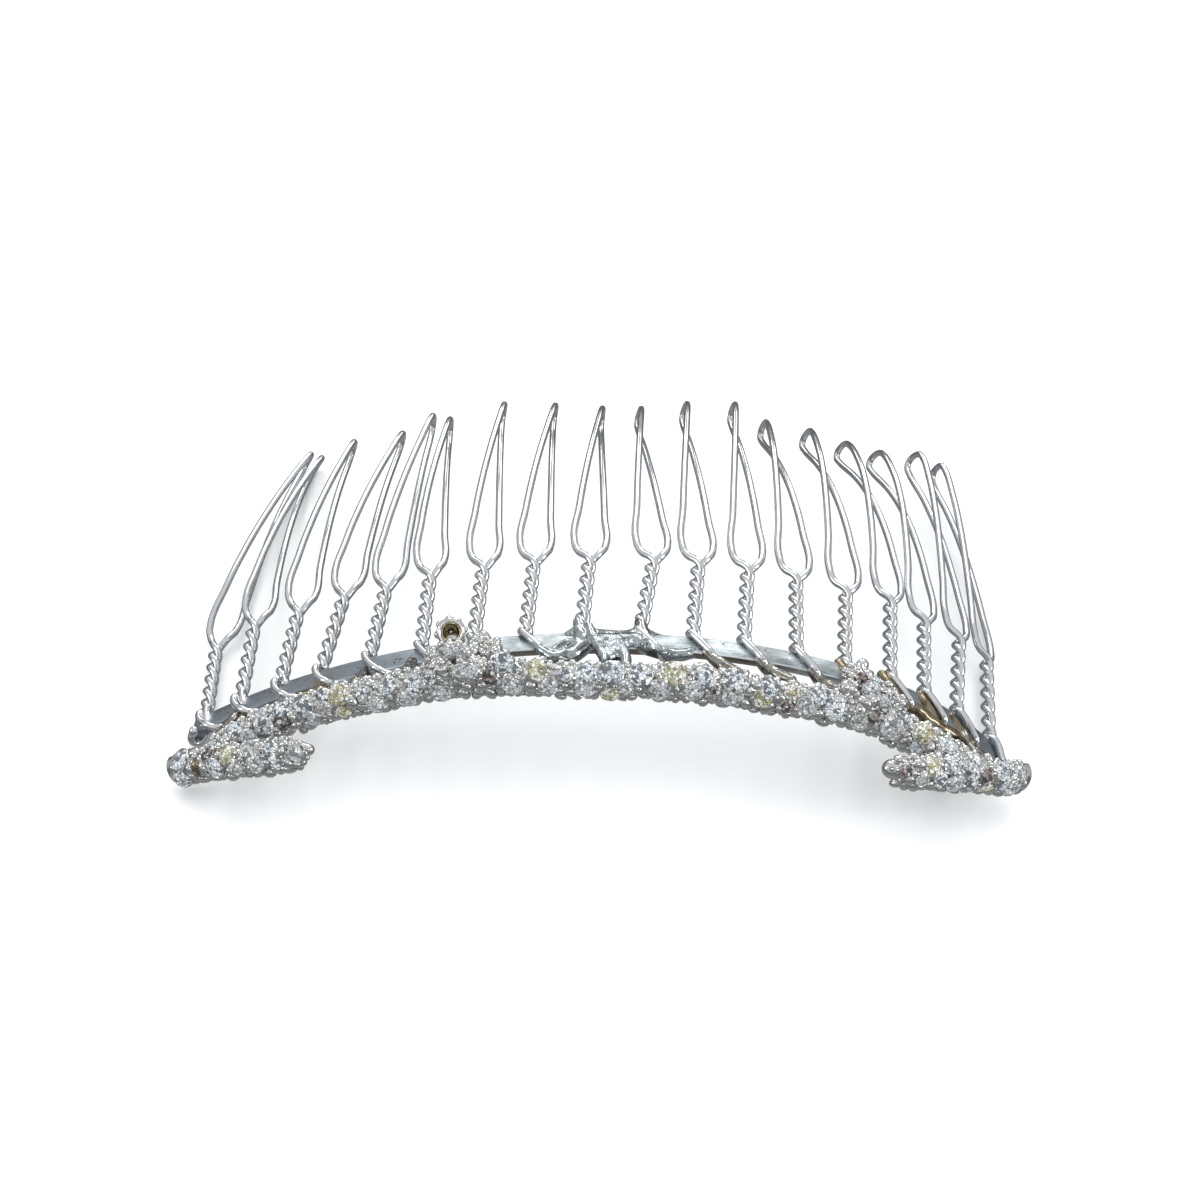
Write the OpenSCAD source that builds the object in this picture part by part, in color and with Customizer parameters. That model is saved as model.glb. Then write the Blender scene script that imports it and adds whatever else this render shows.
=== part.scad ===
/* [Bar] */
// Width of the flat bar across its outer face
bar_w = 1.9; // [1.6:0.1:2]
// Thickness of the flat bar
bar_t = 0.7; // [0.5:0.1:0.7]
// Radius of the arch that the bar and the heading follow
arch_r = 63; // [60:1:70]
// Extra inward bend at the right end of the bar, in degrees
right_bend = 22; // [0:1:24]
// Length of the bar left of the middle
bar_left = 37.5; // [37.3:0.1:38.5]
// Length of the bar right of the middle
bar_right = 37.4; // [37:0.1:38]

/* [Teeth] */
// Diameter of the tooth wire
wire_d = 0.62; // [0.5:0.02:0.66]
// Even spacing of the teeth along the bar
pitch = 4.3; // [4.25:0.05:4.4]
// Reach of a tooth from the middle of the bar to its tip
tooth_reach = 37.3; // [32:0.1:44]
// Length of the twisted stem
stem_l = 8.4; // [8.4:0.1:9.8]
// Turns of the twist in a stem
stem_turns = 2.75; // [1.75:1:2.75]
// Width of the loop between its two wires
loop_w = 2.3; // [2:0.1:2.5]

/* [Heading] */
// Radius of the rounded band, over the stones
band_r = 1.75; // [1.6:0.05:1.9]
// Wall of the hollow-backed band
band_wall = 0.7; // [0.6:0.05:0.9]
// Way that the band faces, in degrees up from straight ahead
band_face = 20; // [15:5:35]
// Radius of the empty stone cup
cup_r = 1.3; // [1.1:0.05:1.4]

/* [Resting] */
// Tip-down turn that sets the comb on its heading and tooth tips
rest_tilt = -1.65; // [-3:0.01:3]
// Sideways turn that sets both ends of the heading down
rest_roll = -0.4; // [-3:0.01:3]
// Sideways shift to the middle of the footprint
rest_x = 0.39; // [-10:0.01:10]
// Shift along the teeth to the middle of the footprint
rest_y = -13.75; // [-30:0.01:0]
// Lift that brings the lowest points to the floor
rest_z = 12.99; // [0:0.01:20]

/* [Hidden] */

silver = [0.78, 0.79, 0.80];
paved = [0.72, 0.72, 0.70];

// Space left between two pieces that touch on the real comb, and round a wire under solder
gap = 0.05;
room_gap = 0.085;
// The lean of the bar against the heading, in degrees
bar_lean = -1.8;
// Arc length over which the right end takes its extra bend
bend_span = 36;
// Step along the bar in its table of places, and how far the table runs
line_step = 0.5;
line_half = 46;

// Middle of the row, counting the first tooth as 0
row_middle = 8.5;
// Space between the two wires of a twist
strand_gap = 0.05;
// Height of the foot of the twist above the middle of the bar
foot_a = 1.6;
// Sides and steps of the wire
wire_sides = 6;
steps_a_turn = 8;
loop_steps = 5;
tip_steps = 5;

// Hand-bent teeth, one row for each tooth from the left. Columns in mm and degrees:
// [foot off its even place, stem leaning right, stem longer, tip off to the right, tip bent inwards,
// turn of the loop]
TEETH = [
    [-0.1, -0.8,  0.0,  2.6, 3.0, 152],
    [-0.6, -0.4,  0.7, -0.5, 3.8, 154],
    [-0.8,  0.3,  0.0, -0.3, 3.8, 134],
    [-1.1,  0.9,  0.0,  0.8, 4.8, 128],
    [-0.9,  0.4, -0.4,  0.3, 3.8, 118],
    [-0.6, -0.2,  0.0, -2.6, 4.8, 112],
    [-0.4,  0.0,  0.0, -1.3, 4.2, 112],
    [-0.4,  0.1,  0.0, -0.5, 5.1, 106],
    [-0.1,  0.2,  0.0, -0.3, 5.8, 100],
    [ 0.4,  0.8,  0.0, -1.2, 5.9, 102],
    [ 0.4,  0.3,  0.0, -0.9, 5.0, 100],
    [ 0.3,  0.3,  0.0, -0.3, 4.4,  94],
    [ 0.4,  0.1,  0.0, -1.0, 6.0,  90],
    [ 0.3,  0.4,  0.0, -0.5, 5.7,  90],
    [ 0.2,  0.5,  0.8, -0.4, 5.7,  88],
    [-0.7,  0.6,  0.3,  0.0, 4.9,  86],
    [-1.4,  1.2,  0.9, -0.2, 2.5,  84],
    [-1.3,  1.0,  1.6, -1.6, 1.9,  64]
];
FOOT = 0;
STEM_LEAN = 1;
STEM_MORE = 2;
TIP_SIDE = 3;
TIP_IN = 4;
LOOP_TURN = 5;
// How late along a loop its inward bend and its turn come, as powers, by tooth from the left
LOOP_BEND = [[0, 2.3], [3, 1.6], [8, 1.7], [11, 2.4], [17, 3.2]];
LOOP_LATE = [[2, 0.5], [8, 0.8], [11, 1.1], [13, 1.35], [17, 1.5]];
// Extra width of a loop where its wires part, by tooth from the left
LOOP_FLARE = [[5, 0], [8, 0.4], [17, 0.45]];
// How far each wire slants over the bar, by tooth from the left: 0 is steep and 1 is slanted
WRAP_SLANT = [[3, 0], [6, 1]];

// Centre line of the band, one row for each bend: [arc length from the middle, place in front of the bar]
BAND = [
    [-34, 5.8], [-31, 4.8], [-28, 4.2], [-24, 3.9], [-19, 3.7], [-13, 3.5],
    [-8, 3.7], [-3, 4.1], [3, 4.0], [9, 3.7], [14, 3.7], [19, 3.4],
    [23, 3.6], [27, 4.3], [30, 5.2], [33, 5.0]
];
// Centre lines of the two end strips, from the outer end inwards, in the same columns
LEFT_STRIP = [[-37.4, 5.6], [-34.5, 6.3], [-31, 7.3], [-27.5, 8.2], [-24.2, 8.7]];
RIGHT_STRIP = [[36.2, 3.6], [33.2, 5.0], [30.2, 6.2], [27.1, 7.4], [23.3, 8.8]];

// Lumps of the two clusters: [arc length, place in front of the bar, height over the arch, radius]
LEFT_CLUSTER = [
    [-12.4, 0.4, 1.2, 0.9], [-12.3, 1.9, 1.4, 1.2], [-13.6, 2.4, 1.3, 0.9],
    [-13.0, 3.6, 1.2, 1.0], [-10.9, 2.6, 1.5, 0.9], [-10.1, 1.3, 1.5, 0.8],
    [-9.1, 2.0, 1.5, 0.8], [-8.2, 3.4, 1.4, 0.8], [-10.1, 4.0, 1.3, 1.0]
];
RIGHT_CLUSTER = [
    [20.6, -0.5, 1.5, 0.5], [19.7, 0.7, 1.4, 0.7], [21.0, 1.2, 1.5, 0.8],
    [22.5, 1.7, 1.4, 0.8], [23.6, 2.5, 1.2, 0.8], [21.1, 3.2, 1.3, 1.0], [19.4, 2.7, 1.4, 0.8]
];
CUP = [-12.4, 0.0, 1.9];

// Solder over the middle of the bar, in strings of lumps drawn together, in the same columns
MIDDLE_SOLDER = [
    [[-5.2, 1.4, 0.45, 0.33], [-4.4, 2.1, 0.45, 0.36], [-3.7, 2.1, 0.5, 0.36], [-3.3, 1.7, 0.55, 0.34]],
    [[-4.7, 1.9, 0.3, 0.35], [-4.0, 2.3, 0.3, 0.4], [-3.3, 2.3, 0.3, 0.45], [-2.6, 1.7, 0.3, 0.5],
     [-2.1, 1.0, 0.3, 0.55], [-1.6, 0.3, 0.3, 0.6]],
    [[-4.4, 1.6, 0.5, 0.25], [-3.9, 1.0, 0.55, 0.27], [-3.3, 0.6, 0.55, 0.3], [-2.1, 0.5, 0.5, 0.32]],
    [[-2.3, -1.4, 0.2, 0.5], [-2.1, -0.3, 0.3, 0.65], [-1.7, 0.5, 0.3, 0.6]],
    [[-1.6, -1.2, 0.7, 0.3], [-1.3, 0.1, 0.8, 0.34], [-0.7, 1.4, 0.75, 0.34], [-0.2, 2.6, 0.9, 0.36]],
    [[-3.4, -0.9, 0.15, 0.3], [-2.7, -1.2, 0.2, 0.4], [-1.0, -0.5, 0.3, 0.52], [0.8, -0.4, 0.3, 0.5],
     [1.6, -0.5, 0.3, 0.5], [2.6, -1.2, 0.3, 0.45], [3.7, -0.9, 0.15, 0.3]],
    [[-0.8, 0.3, 0.4, 0.6], [0.2, 0.4, 0.45, 0.66], [1.2, 0.2, 0.4, 0.6], [2.4, -0.1, 0.4, 0.55]],
    [[-0.4, 1.0, 0.5, 0.5], [0.9, 0.9, 0.5, 0.45], [1.3, 1.6, 0.5, 0.36], [1.6, 2.4, 0.7, 0.36]],
    [[2.6, -1.4, 0.3, 0.5], [2.7, -0.6, 0.35, 0.55], [2.7, 0.3, 0.4, 0.6]],
    [[2.8, -0.9, 0.6, 0.3], [3.3, 0.2, 0.7, 0.32], [4.0, 1.0, 0.68, 0.34], [4.5, 1.26, 0.64, 0.32]],
    [[2.4, 0.3, 0.2, 0.5], [3.8, 0.8, 0.25, 0.52], [4.8, 1.1, 0.22, 0.48], [6.0, 0.9, 0.15, 0.45],
     [6.9, 0.5, 0.15, 0.4]]
];
// Solder below the ends of three wires on the right, in the same columns
WEDGES = [
    [[7.9, 0.7, 0.6, 0.3], [8.6, 1.3, 0.45, 0.42], [9.3, 1.9, 0.45, 0.46], [10.2, 2.9, 1.1, 0.45]],
    [[12.1, 0.7, 0.6, 0.3], [12.8, 1.3, 0.45, 0.45], [13.6, 1.8, 0.4, 0.5], [14.7, 2.8, 1.1, 0.45]],
    [[16.5, 0.7, 0.6, 0.3], [17.2, 1.3, 0.45, 0.45], [18.0, 1.9, 0.4, 0.5], [19.0, 2.7, 1.1, 0.45]]
];
// Places along the bar where solder runs from it into the band
BRIDGES = [-32.6, -20.3, -16.2, 20.2, 31.1];
bridge_r = 0.6;

// Direction of the bar at an arc length, in degrees down to the right
function bar_angle(s) = bar_lean + s / arch_r * 180 / PI + right_bend * pow(max(s, 0) / bend_span, 3);

// Places along the bar, walked in short steps from the middle
line_steps = line_half / line_step;
function walked(way) = [
    for (
        i = 0, p = [0, 0];
        i <= line_steps;
        p = p + way * line_step * [
            cos(bar_angle(way * (i + 0.5) * line_step)),
            -sin(bar_angle(way * (i + 0.5) * line_step))
        ],
        i = i + 1
    ) [way * i * line_step, p.x, p.y]
];
LINE_RIGHT = walked(1);
LINE_LEFT = walked(-1);
LINE = concat([for (i = [line_steps : -1 : 1]) LINE_LEFT[i]], LINE_RIGHT);
LINE_X = [for (row = LINE) [row[0], row[1]]];
LINE_Z = [for (row = LINE) [row[0], row[2]]];

// A point by arc length, height along the teeth and distance out from the bar's middle
function bar_point(s, a, n) = [
    lookup(s, LINE_X) + n * sin(bar_angle(s)),
    a,
    lookup(s, LINE_Z) + n * cos(bar_angle(s))
];

// The same for the heading, which keeps the plain arch: f runs forward, away from the teeth
function arch_angle(s) = s / arch_r * 180 / PI;
function arch_point(s, f, n) = [
    (arch_r + n) * sin(arch_angle(s)),
    -f,
    (arch_r + n) * cos(arch_angle(s)) - arch_r
];

// Foot of tooth i along the bar
function foot(i) = (i - row_middle) * pitch + TEETH[i][FOOT];

// A point of tooth i in its own straight frame: u to the right, a to the tip, n outwards
function tooth_point(i, u, a, n) = bar_point(foot(i), a, n)
    + u * [cos(bar_angle(foot(i))), 0, -sin(bar_angle(foot(i)))];

function unit(v) = v / norm(v);
function mix(a, b, k) = a + (b - a) * k;

// The middle of a tooth's loop and stem at height a: [to the right, outwards]
function stem(i) = stem_l + TEETH[i][STEM_MORE];
function split_a(i) = foot_a + stem(i);
function loop_share(i, a) = min(max((a - split_a(i)) / (tooth_reach - split_a(i)), 0), 1);
function lean(i, a) = a < split_a(i)
    ? [TEETH[i][STEM_LEAN] * max(a - foot_a, 0) / stem(i), 0]
    : let (k = loop_share(i, a))
        [
            mix(TEETH[i][STEM_LEAN], TEETH[i][TIP_SIDE], k),
            -TEETH[i][TIP_IN] * pow(k, lookup(i, LOOP_BEND))
        ];

// One wire of the twist: side is 0 for the wire from the front and 180 for the wire from behind
twist_r = (wire_d + strand_gap) / 2;
function twist_point(i, a, side) = let (
    turn = 180 + side + 360 * stem_turns * (a - foot_a) / stem(i),
    m = lean(i, a)
) tooth_point(i, m.x + twist_r * cos(turn), a, m.y + twist_r * sin(turn));
twist_steps = round(steps_a_turn * stem_turns);
function twist(i, side) = [
    for (j = [0 : twist_steps]) twist_point(i, foot_a + stem(i) * j / twist_steps, side)
];

// Above the twist the left wire still lies in front of the right one, at this height and place
part_h = 0.35;
part_u = 0.26;
part_n = 0.31;
function parting(i, half) = let (m = lean(i, split_a(i) + part_h))
    tooth_point(i, m.x + half * part_u, split_a(i) + part_h, m.y - half * part_n);
// One side of the loop: half is 1 for the right wire and -1 for the left
corner_h = 1.1;
corner_share = 0.68;
shoulder_h = 2.1;
loop_end_a = tooth_reach - wire_d / 2 - loop_w / 2;
function loop_point(i, a, across) = let (
    k = loop_share(i, a),
    m = lean(i, a),
    t = -TEETH[i][LOOP_TURN] * pow(k, lookup(i, LOOP_LATE)),
    w = (loop_w + lookup(i, LOOP_FLARE) * pow(1 - k, 2)) / 2 * across
) tooth_point(i, m.x + w * cos(t), a, m.y + w * sin(t));
function loop_side(i, half) = concat(
    [parting(i, half), loop_point(i, split_a(i) + corner_h, half * corner_share)],
    [for (j = [0 : loop_steps])
        loop_point(i, mix(split_a(i) + shoulder_h, loop_end_a, j / loop_steps), half)]
);
// The round end of the loop, from the right wire over to the left one
function loop_tip(i) = [
    for (j = [1 : tip_steps - 1])
        let (k = 180 * j / tip_steps)
            loop_point(i, loop_end_a + loop_w / 2 * sin(k), cos(k))
];

// The wire lies this far from the bar's middle, outwards and along the teeth
out_n = bar_t / 2 + gap + wire_d / 2;
over_a = bar_w / 2 + gap + wire_d / 2;
// Round a corner of the bar the wire passes through two places, given as shares of those two reaches
CORNER_FACE = [0.765, 0.93];
CORNER_EDGE = [0.97, 0.5];
// From the foot of a tooth over the front of the bar and under its edge, to behind the bar:
// [to the right for a steep wire, to the right for a slanted one, height, outwards]
FRONT_WRAP = [
    [-0.15, -0.2, foot_a - 0.45, out_n * 0.85], [-0.1, 0.1, 0.7, out_n], [0.6, 1.1, -0.55, out_n],
    [1.15, 1.45, -over_a * CORNER_FACE[0], out_n * CORNER_FACE[1]],
    [1.7, 1.7, -over_a * CORNER_EDGE[0], out_n * CORNER_EDGE[1]],
    [2.4, 1.85, -over_a, 0],
    [2.8, 2.05, -over_a * CORNER_EDGE[0], -out_n * CORNER_EDGE[1]],
    [3.0, 2.2, -over_a * CORNER_FACE[0], -out_n * CORNER_FACE[1]],
    [3.1, 2.35, -bar_w * 0.4, -out_n]
];
// From where the wire before ends, up behind the bar to the foot: [share of that way, height, outwards]
BACK_WRAP = [[1, -bar_w * 0.3, -out_n], [0.45, 0.7, -out_n], [-0.05, foot_a - 0.45, -out_n * 0.85]];
// The cut ends of the wire: hooked under the bar at the left, and short at the right end
FIRST_WRAP = [
    [-0.4, -over_a * CORNER_FACE[0], out_n * CORNER_FACE[1]],
    [-0.8, -over_a * CORNER_EDGE[0], out_n * CORNER_EDGE[1]],
    [-0.95, -over_a, 0],
    [-0.85, -over_a * CORNER_EDGE[0], -out_n * CORNER_EDGE[1]],
    [-0.75, -over_a * CORNER_FACE[0], -out_n * CORNER_FACE[1]],
    [-0.4, 0.7, -out_n], [0, foot_a - 0.45, -out_n * 0.85]
];
LAST_WRAP = [
    [-0.2, foot_a - 0.45, out_n * 0.85], [0.1, 0.7, out_n], [0.6, -0.55, out_n],
    [0.8, -over_a * CORNER_FACE[0], out_n * CORNER_FACE[1]],
    [0.95, -over_a * CORNER_EDGE[0], out_n * CORNER_EDGE[1]],
    [1.0, -over_a, 0]
];
last_tooth = len(TEETH) - 1;
function slanted(i, w) = [mix(w[0], w[1], lookup(i, WRAP_SLANT)), w[2], w[3]];
function front_wrap(i) = i == last_tooth
    ? [for (w = LAST_WRAP) bar_point(foot(i) + w.x, w.y, w.z)]
    : [for (row = FRONT_WRAP) let (w = slanted(i, row)) bar_point(foot(i) + w.x, w.y, w.z)];
// The wire behind the bar starts where the one of the tooth before it stops
function wrap_run(i) = slanted(i, FRONT_WRAP[len(FRONT_WRAP) - 1]).x;
function back_start(i) = foot(i - 1) + wrap_run(i - 1) + gap - foot(i);
function back_wrap(i) = i == 0
    ? [for (w = FIRST_WRAP) bar_point(foot(i) + w.x, w.y, w.z)]
    : [for (w = BACK_WRAP) bar_point(foot(i) + back_start(i) * w.x, w.y, w.z)];

function reversed(list) = [for (i = [len(list) - 1 : -1 : 0]) list[i]];

// The whole way of the wire through tooth i
function tooth_route(i) = concat(
    back_wrap(i), twist(i, 180), loop_side(i, 1), loop_tip(i),
    reversed(loop_side(i, -1)), reversed(twist(i, 0)), front_wrap(i)
);

// Direction of a route at point i
function heading_of(route, i) = unit(
    route[min(i + 1, len(route) - 1)] - route[max(i - 1, 0)]
);
function square_to(v, t) = unit(v - (v * t) * t);
// A side direction at each point that turns as little as it can
function side_dirs(route) = [
    for (
        i = 0, v = square_to([0.31, 0.42, 0.85], heading_of(route, 0));
        i < len(route);
        i = i + 1,
        v = i < len(route) ? square_to(v, heading_of(route, i)) : v
    ) v
];

// A closed skin over rings of equal length, in order
module skin(rings) {
    n = len(rings[0]);
    m = len(rings);
    sides = [
        for (i = [0 : m - 2], j = [0 : n - 1], half = [0, 1])
            let (k = (j + 1) % n)
                half == 0
                    ? [i * n + j, i * n + k, (i + 1) * n + k]
                    : [i * n + j, (i + 1) * n + k, (i + 1) * n + j]
    ];
    polyhedron(
        points = [for (ring = rings, p = ring) p],
        faces = concat(
            sides,
            [[for (j = [n - 1 : -1 : 0]) j]],
            [[for (j = [0 : n - 1]) (m - 1) * n + j]]
        )
    );
}

// A round wire along a route
module wire(route, d) {
    v = side_dirs(route);
    skin([
        for (i = [0 : len(route) - 1])
            let (w = cross(heading_of(route, i), v[i]))
                [for (j = [0 : wire_sides - 1])
                    route[i] + d / 2 * (cos(-60 * j) * v[i] + sin(-60 * j) * w)]
    ]);
}

// The place of the whole comb on the surface that it lies on
module resting() {
    translate([rest_x, rest_y, rest_z]) rotate([-rest_tilt, rest_roll, 0]) children();
}

module tooth(i) {
    color(silver) resting() wire(tooth_route(i), wire_d);
}

// The flat bar, with its long edges a little rounded
module bar() {
    edge = 0.2;
    bar_rings = 36;
    t = bar_t / 2;
    w = bar_w / 2;
    section = [
        [w - edge, t], [w, t - edge], [w, -t + edge], [w - edge, -t],
        [-w + edge, -t], [-w, -t + edge], [-w, t - edge], [-w + edge, t]
    ];
    skin([
        for (i = [0 : bar_rings])
            let (s = mix(-bar_left, bar_right, i / bar_rings))
                [for (p = section) bar_point(s, p.x, p.y)]
    ]);
}

// Section of the band: rounded outside, hollow behind, as [forward, outward] from its centre
back_span = 95;
lip = 12;
function band_section(r) = concat(
    [for (j = [0 : 8]) let (t = band_face - back_span + j * back_span / 4) r * [cos(t), sin(t)]],
    [for (j = [4 : -1 : 0]) let (t = band_face - back_span + lip + j * (back_span - lip) / 2)
        r * (1 - band_wall / band_r) * [cos(t), sin(t)]]
);

// A hollow-backed band along a centre line, with its radius drawn in at the ends
function line_tangent(line, i) = unit(
    line[min(i + 1, len(line) - 1)] - line[max(i - 1, 0)]
);
module band(line, first_r, last_r) {
    skin([
        for (i = [0 : len(line) - 1])
            let (
                r = i == 0 ? first_r : i == len(line) - 1 ? last_r : band_r,
                t = line_tangent(line, i),
                way = t.x > 0 ? 1 : -1
            )
                [for (p = way > 0 ? band_section(r) : reversed(band_section(r)))
                    arch_point(line[i].x - way * t.y * p.x, line[i].y + way * t.x * p.x, p.y)]
    ]);
}

// A curved line through the rows of a table, drawn in short pieces
function smooth(table, steps) = [
    for (i = [0 : len(table) - 2], j = [0 : steps - 1])
        let (
            p = table[max(i - 1, 0)], a = table[i], b = table[i + 1],
            q = table[min(i + 2, len(table) - 1)], k = j / steps
        )
            0.5 * (2 * a + (b - p) * k + (2 * p - 5 * a + 4 * b - q) * k * k
                + (3 * a - p - 3 * b + q) * k * k * k),
    table[len(table) - 1]
];

module ball(row, sides) {
    translate(arch_point(row[0], row[1], row[2])) sphere(r = row[3], $fn = sides);
}

// Lumps drawn together in a row
module lumps(rows, sides) {
    for (i = [0 : len(rows) - 2])
        hull() {
            ball(rows[i], sides);
            ball(rows[i + 1], sides);
        }
}

// The stone cup that has lost its stone, facing forward and up
cup_face = 45;
cup_foot = 1.2;
cup_h = 2;
cup_deep = 0.9;
module cup() {
    translate(arch_point(CUP[0], CUP[1], CUP[2]))
        rotate([cup_face, 0, 0])
            difference() {
                translate([0, 0, -cup_foot]) cylinder(h = cup_h, r1 = cup_r * 0.7, r2 = cup_r, $fn = 20);
                translate([0, 0, cup_h - cup_foot - cup_deep])
                    cylinder(h = cup_deep + gap, r1 = cup_r * 0.45, r2 = cup_r * 0.65, $fn = 20);
            }
}

pieces_a_row = 2;
cluster_sides = 8;
solder_sides = 7;
module heading() {
    band(smooth(BAND, pieces_a_row), band_r * 0.7, band_r * 0.7);
    band(smooth(LEFT_STRIP, pieces_a_row), band_r * 0.9, band_r * 0.5);
    band(smooth(RIGHT_STRIP, pieces_a_row), band_r * 0.9, band_r * 0.65);
    lumps(LEFT_CLUSTER, cluster_sides);
    lumps(RIGHT_CLUSTER, cluster_sides);
    cup();
}

// Solder from the bar to the edge of the band behind its rounded face
module bridge(s) {
    hull() {
        translate(bar_point(s, -bar_w * 0.3, 0)) sphere(r = bridge_r, $fn = 12);
        translate(arch_point(s, lookup(s, BAND) - band_r * 0.7, band_r * 0.6)) sphere(r = bridge_r, $fn = 12);
    }
}

module solder() {
    for (rows = concat(MIDDLE_SOLDER, WEDGES)) lumps(rows, solder_sides);
    for (s = BRIDGES) bridge(s);
}

// Room for the wires that the clusters and the solder lie over
room_steps = 10;
module wire_room(i) {
    front = [for (j = [room_steps : -1 : 0]) twist(i, 0)[j]];
    back = [for (j = [0 : room_steps]) twist(i, 180)[j]];
    wire(concat(front, front_wrap(i)), wire_d + 2 * room_gap);
    wire(concat(back_wrap(i), back), wire_d + 2 * room_gap);
}

module soldered_heading() {
    color(paved) resting() {
        bar();
        difference() {
            union() {
                heading();
                solder();
            }
            for (i = [0 : last_tooth]) wire_room(i);
        }
    }
}

soldered_heading();
tooth(0);  // tooth_01
tooth(1);  // tooth_02
tooth(2);  // tooth_03
tooth(3);  // tooth_04
tooth(4);  // tooth_05
tooth(5);  // tooth_06
tooth(6);  // tooth_07
tooth(7);  // tooth_08
tooth(8);  // tooth_09
tooth(9);  // tooth_10
tooth(10);  // tooth_11
tooth(11);  // tooth_12
tooth(12);  // tooth_13
tooth(13);  // tooth_14
tooth(14);  // tooth_15
tooth(15);  // tooth_16
tooth(16);  // tooth_17
tooth(17);  // tooth_18
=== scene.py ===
"""A small mantilla comb of twisted wire teeth under a curved heading paved with stones."""

import math
import random

import bpy
from mathutils import Euler, Matrix, Vector


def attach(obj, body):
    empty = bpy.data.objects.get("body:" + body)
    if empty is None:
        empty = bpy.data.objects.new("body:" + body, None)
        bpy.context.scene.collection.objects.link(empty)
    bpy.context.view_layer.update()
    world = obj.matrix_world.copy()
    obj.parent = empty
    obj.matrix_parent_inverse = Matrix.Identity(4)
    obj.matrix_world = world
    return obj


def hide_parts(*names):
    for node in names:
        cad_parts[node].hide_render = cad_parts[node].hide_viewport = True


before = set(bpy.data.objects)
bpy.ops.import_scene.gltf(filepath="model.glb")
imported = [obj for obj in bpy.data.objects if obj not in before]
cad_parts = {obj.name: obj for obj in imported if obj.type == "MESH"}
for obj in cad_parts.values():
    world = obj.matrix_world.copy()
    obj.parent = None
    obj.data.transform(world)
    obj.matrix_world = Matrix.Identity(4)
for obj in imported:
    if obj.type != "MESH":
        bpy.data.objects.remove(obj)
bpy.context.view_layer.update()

bl_info = {
    "name": "Mantilla Comb",
    "version": (1, 0, 0),
    "blender": (4, 5, 0),
    "location": "3D View > Sidebar > Comb",
    "description": "Builds a mantilla comb with twisted wire teeth and a stone-paved heading",
    "category": "Add Mesh",
}

# The comb's tables are in millimetres and degrees, in its own frame: the arch of the bar has its top
# at the origin, the teeth point along +Y and the heading looks forward, along -Y. REST lays it down.
MM = 0.001
REST = (
    Matrix.Translation(Vector((0.39, -13.75, 12.99)) * MM)
    @ Matrix.Rotation(math.radians(-0.40), 4, "Y")
    @ Matrix.Rotation(math.radians(1.65), 4, "X")
)
# The bar: radius of the arch, length to the left and to the right, lean of the whole bar, and how far
# its right end bends down beyond the arch, over which length
ARCH_R = 63
BAR_LEFT = 37.5
BAR_RIGHT = 37.4
BAR_LEAN = -1.8
RIGHT_BEND = 22
BEND_SPAN = 36
# The bar's line is worked out in steps, this far to either side
LINE_STEP = 0.5
LINE_HALF = 46

PITCH = 4.3
ROW_MIDDLE = 8.5
# The teeth, from the left: foot off its even place, stem leaning right, stem longer,
# tip off to the right, tip bent inwards, turn of the loop
TEETH = [
    (-0.1, -0.8, 0.0, 2.6, 3.0, 152),
    (-0.6, -0.4, 0.7, -0.5, 3.8, 154),
    (-0.8, 0.3, 0.0, -0.3, 3.8, 134),
    (-1.1, 0.9, 0.0, 0.8, 4.8, 128),
    (-0.9, 0.4, -0.4, 0.3, 3.8, 118),
    (-0.6, -0.2, 0.0, -2.6, 4.8, 112),
    (-0.4, 0.0, 0.0, -1.3, 4.2, 112),
    (-0.4, 0.1, 0.0, -0.5, 5.1, 106),
    (-0.1, 0.2, 0.0, -0.3, 5.8, 100),
    (0.4, 0.8, 0.0, -1.2, 5.9, 102),
    (0.4, 0.3, 0.0, -0.9, 5.0, 100),
    (0.3, 0.3, 0.0, -0.3, 4.4, 94),
    (0.4, 0.1, 0.0, -1.0, 6.0, 90),
    (0.3, 0.4, 0.0, -0.5, 5.7, 90),
    (0.2, 0.5, 0.8, -0.4, 5.7, 88),
    (-0.7, 0.6, 0.3, 0.0, 4.9, 86),
    (-1.4, 1.2, 0.9, -0.2, 2.5, 84),
    (-1.3, 1.0, 1.6, -1.6, 1.9, 64),
]
# By tooth number: the powers by which a loop bends and turns late, how much wider it starts, and how
# far the wire's way over the bar is the slanted one
LOOP_BEND = [(0, 2.3), (3, 1.6), (8, 1.7), (11, 2.4), (17, 3.2)]
LOOP_LATE = [(2, 0.5), (8, 0.8), (11, 1.1), (13, 1.35), (17, 1.5)]
LOOP_FLARE = [(5, 0), (8, 0.4), (17, 0.45)]
WRAP_SLANT = [(3, 0), (6, 1)]
# Heights of the teeth's tips and of the twists' feet above the bar's middle, a twist's length and turns
TOOTH_REACH = 37.3
FOOT_A = 1.6
STEM_L = 8.4
STEM_TURNS = 2.75
# Above the twist the left wire still lies in front of the right one: height, right and out
PARTING = (0.35, 0.26, 0.31)
# Then the loop opens: height and share of its width at the corner, and height where it runs straight
CORNER_H = 1.1
CORNER_SHARE = 0.68
SHOULDER_H = 2.1
# Free space between wires, and the steps that the routes are drawn in
STRAND_GAP = 0.05
TWIST_STEPS = 22
LOOP_STEPS = 5
TIP_STEPS = 5
# Where the wire rounds an edge of the bar: shares of its reach below the bar and out from it
CORNER_FACE = (0.765, 0.93)
CORNER_EDGE = (0.97, 0.5)
# The wire comes round the bar this far below its twist, and this share as far out
FOOT_DROP = 0.45
FOOT_SHARE = 0.85
# Rightward way of the wire over the bar, point by point, for a steep wire and for a slanted one
WRAP_STEEP = (-0.15, -0.1, 0.6, 1.15, 1.7, 2.4, 2.8, 3.0, 3.1)
WRAP_SLANTED = (-0.2, 0.1, 1.1, 1.45, 1.7, 1.85, 2.05, 2.2, 2.35)
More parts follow.
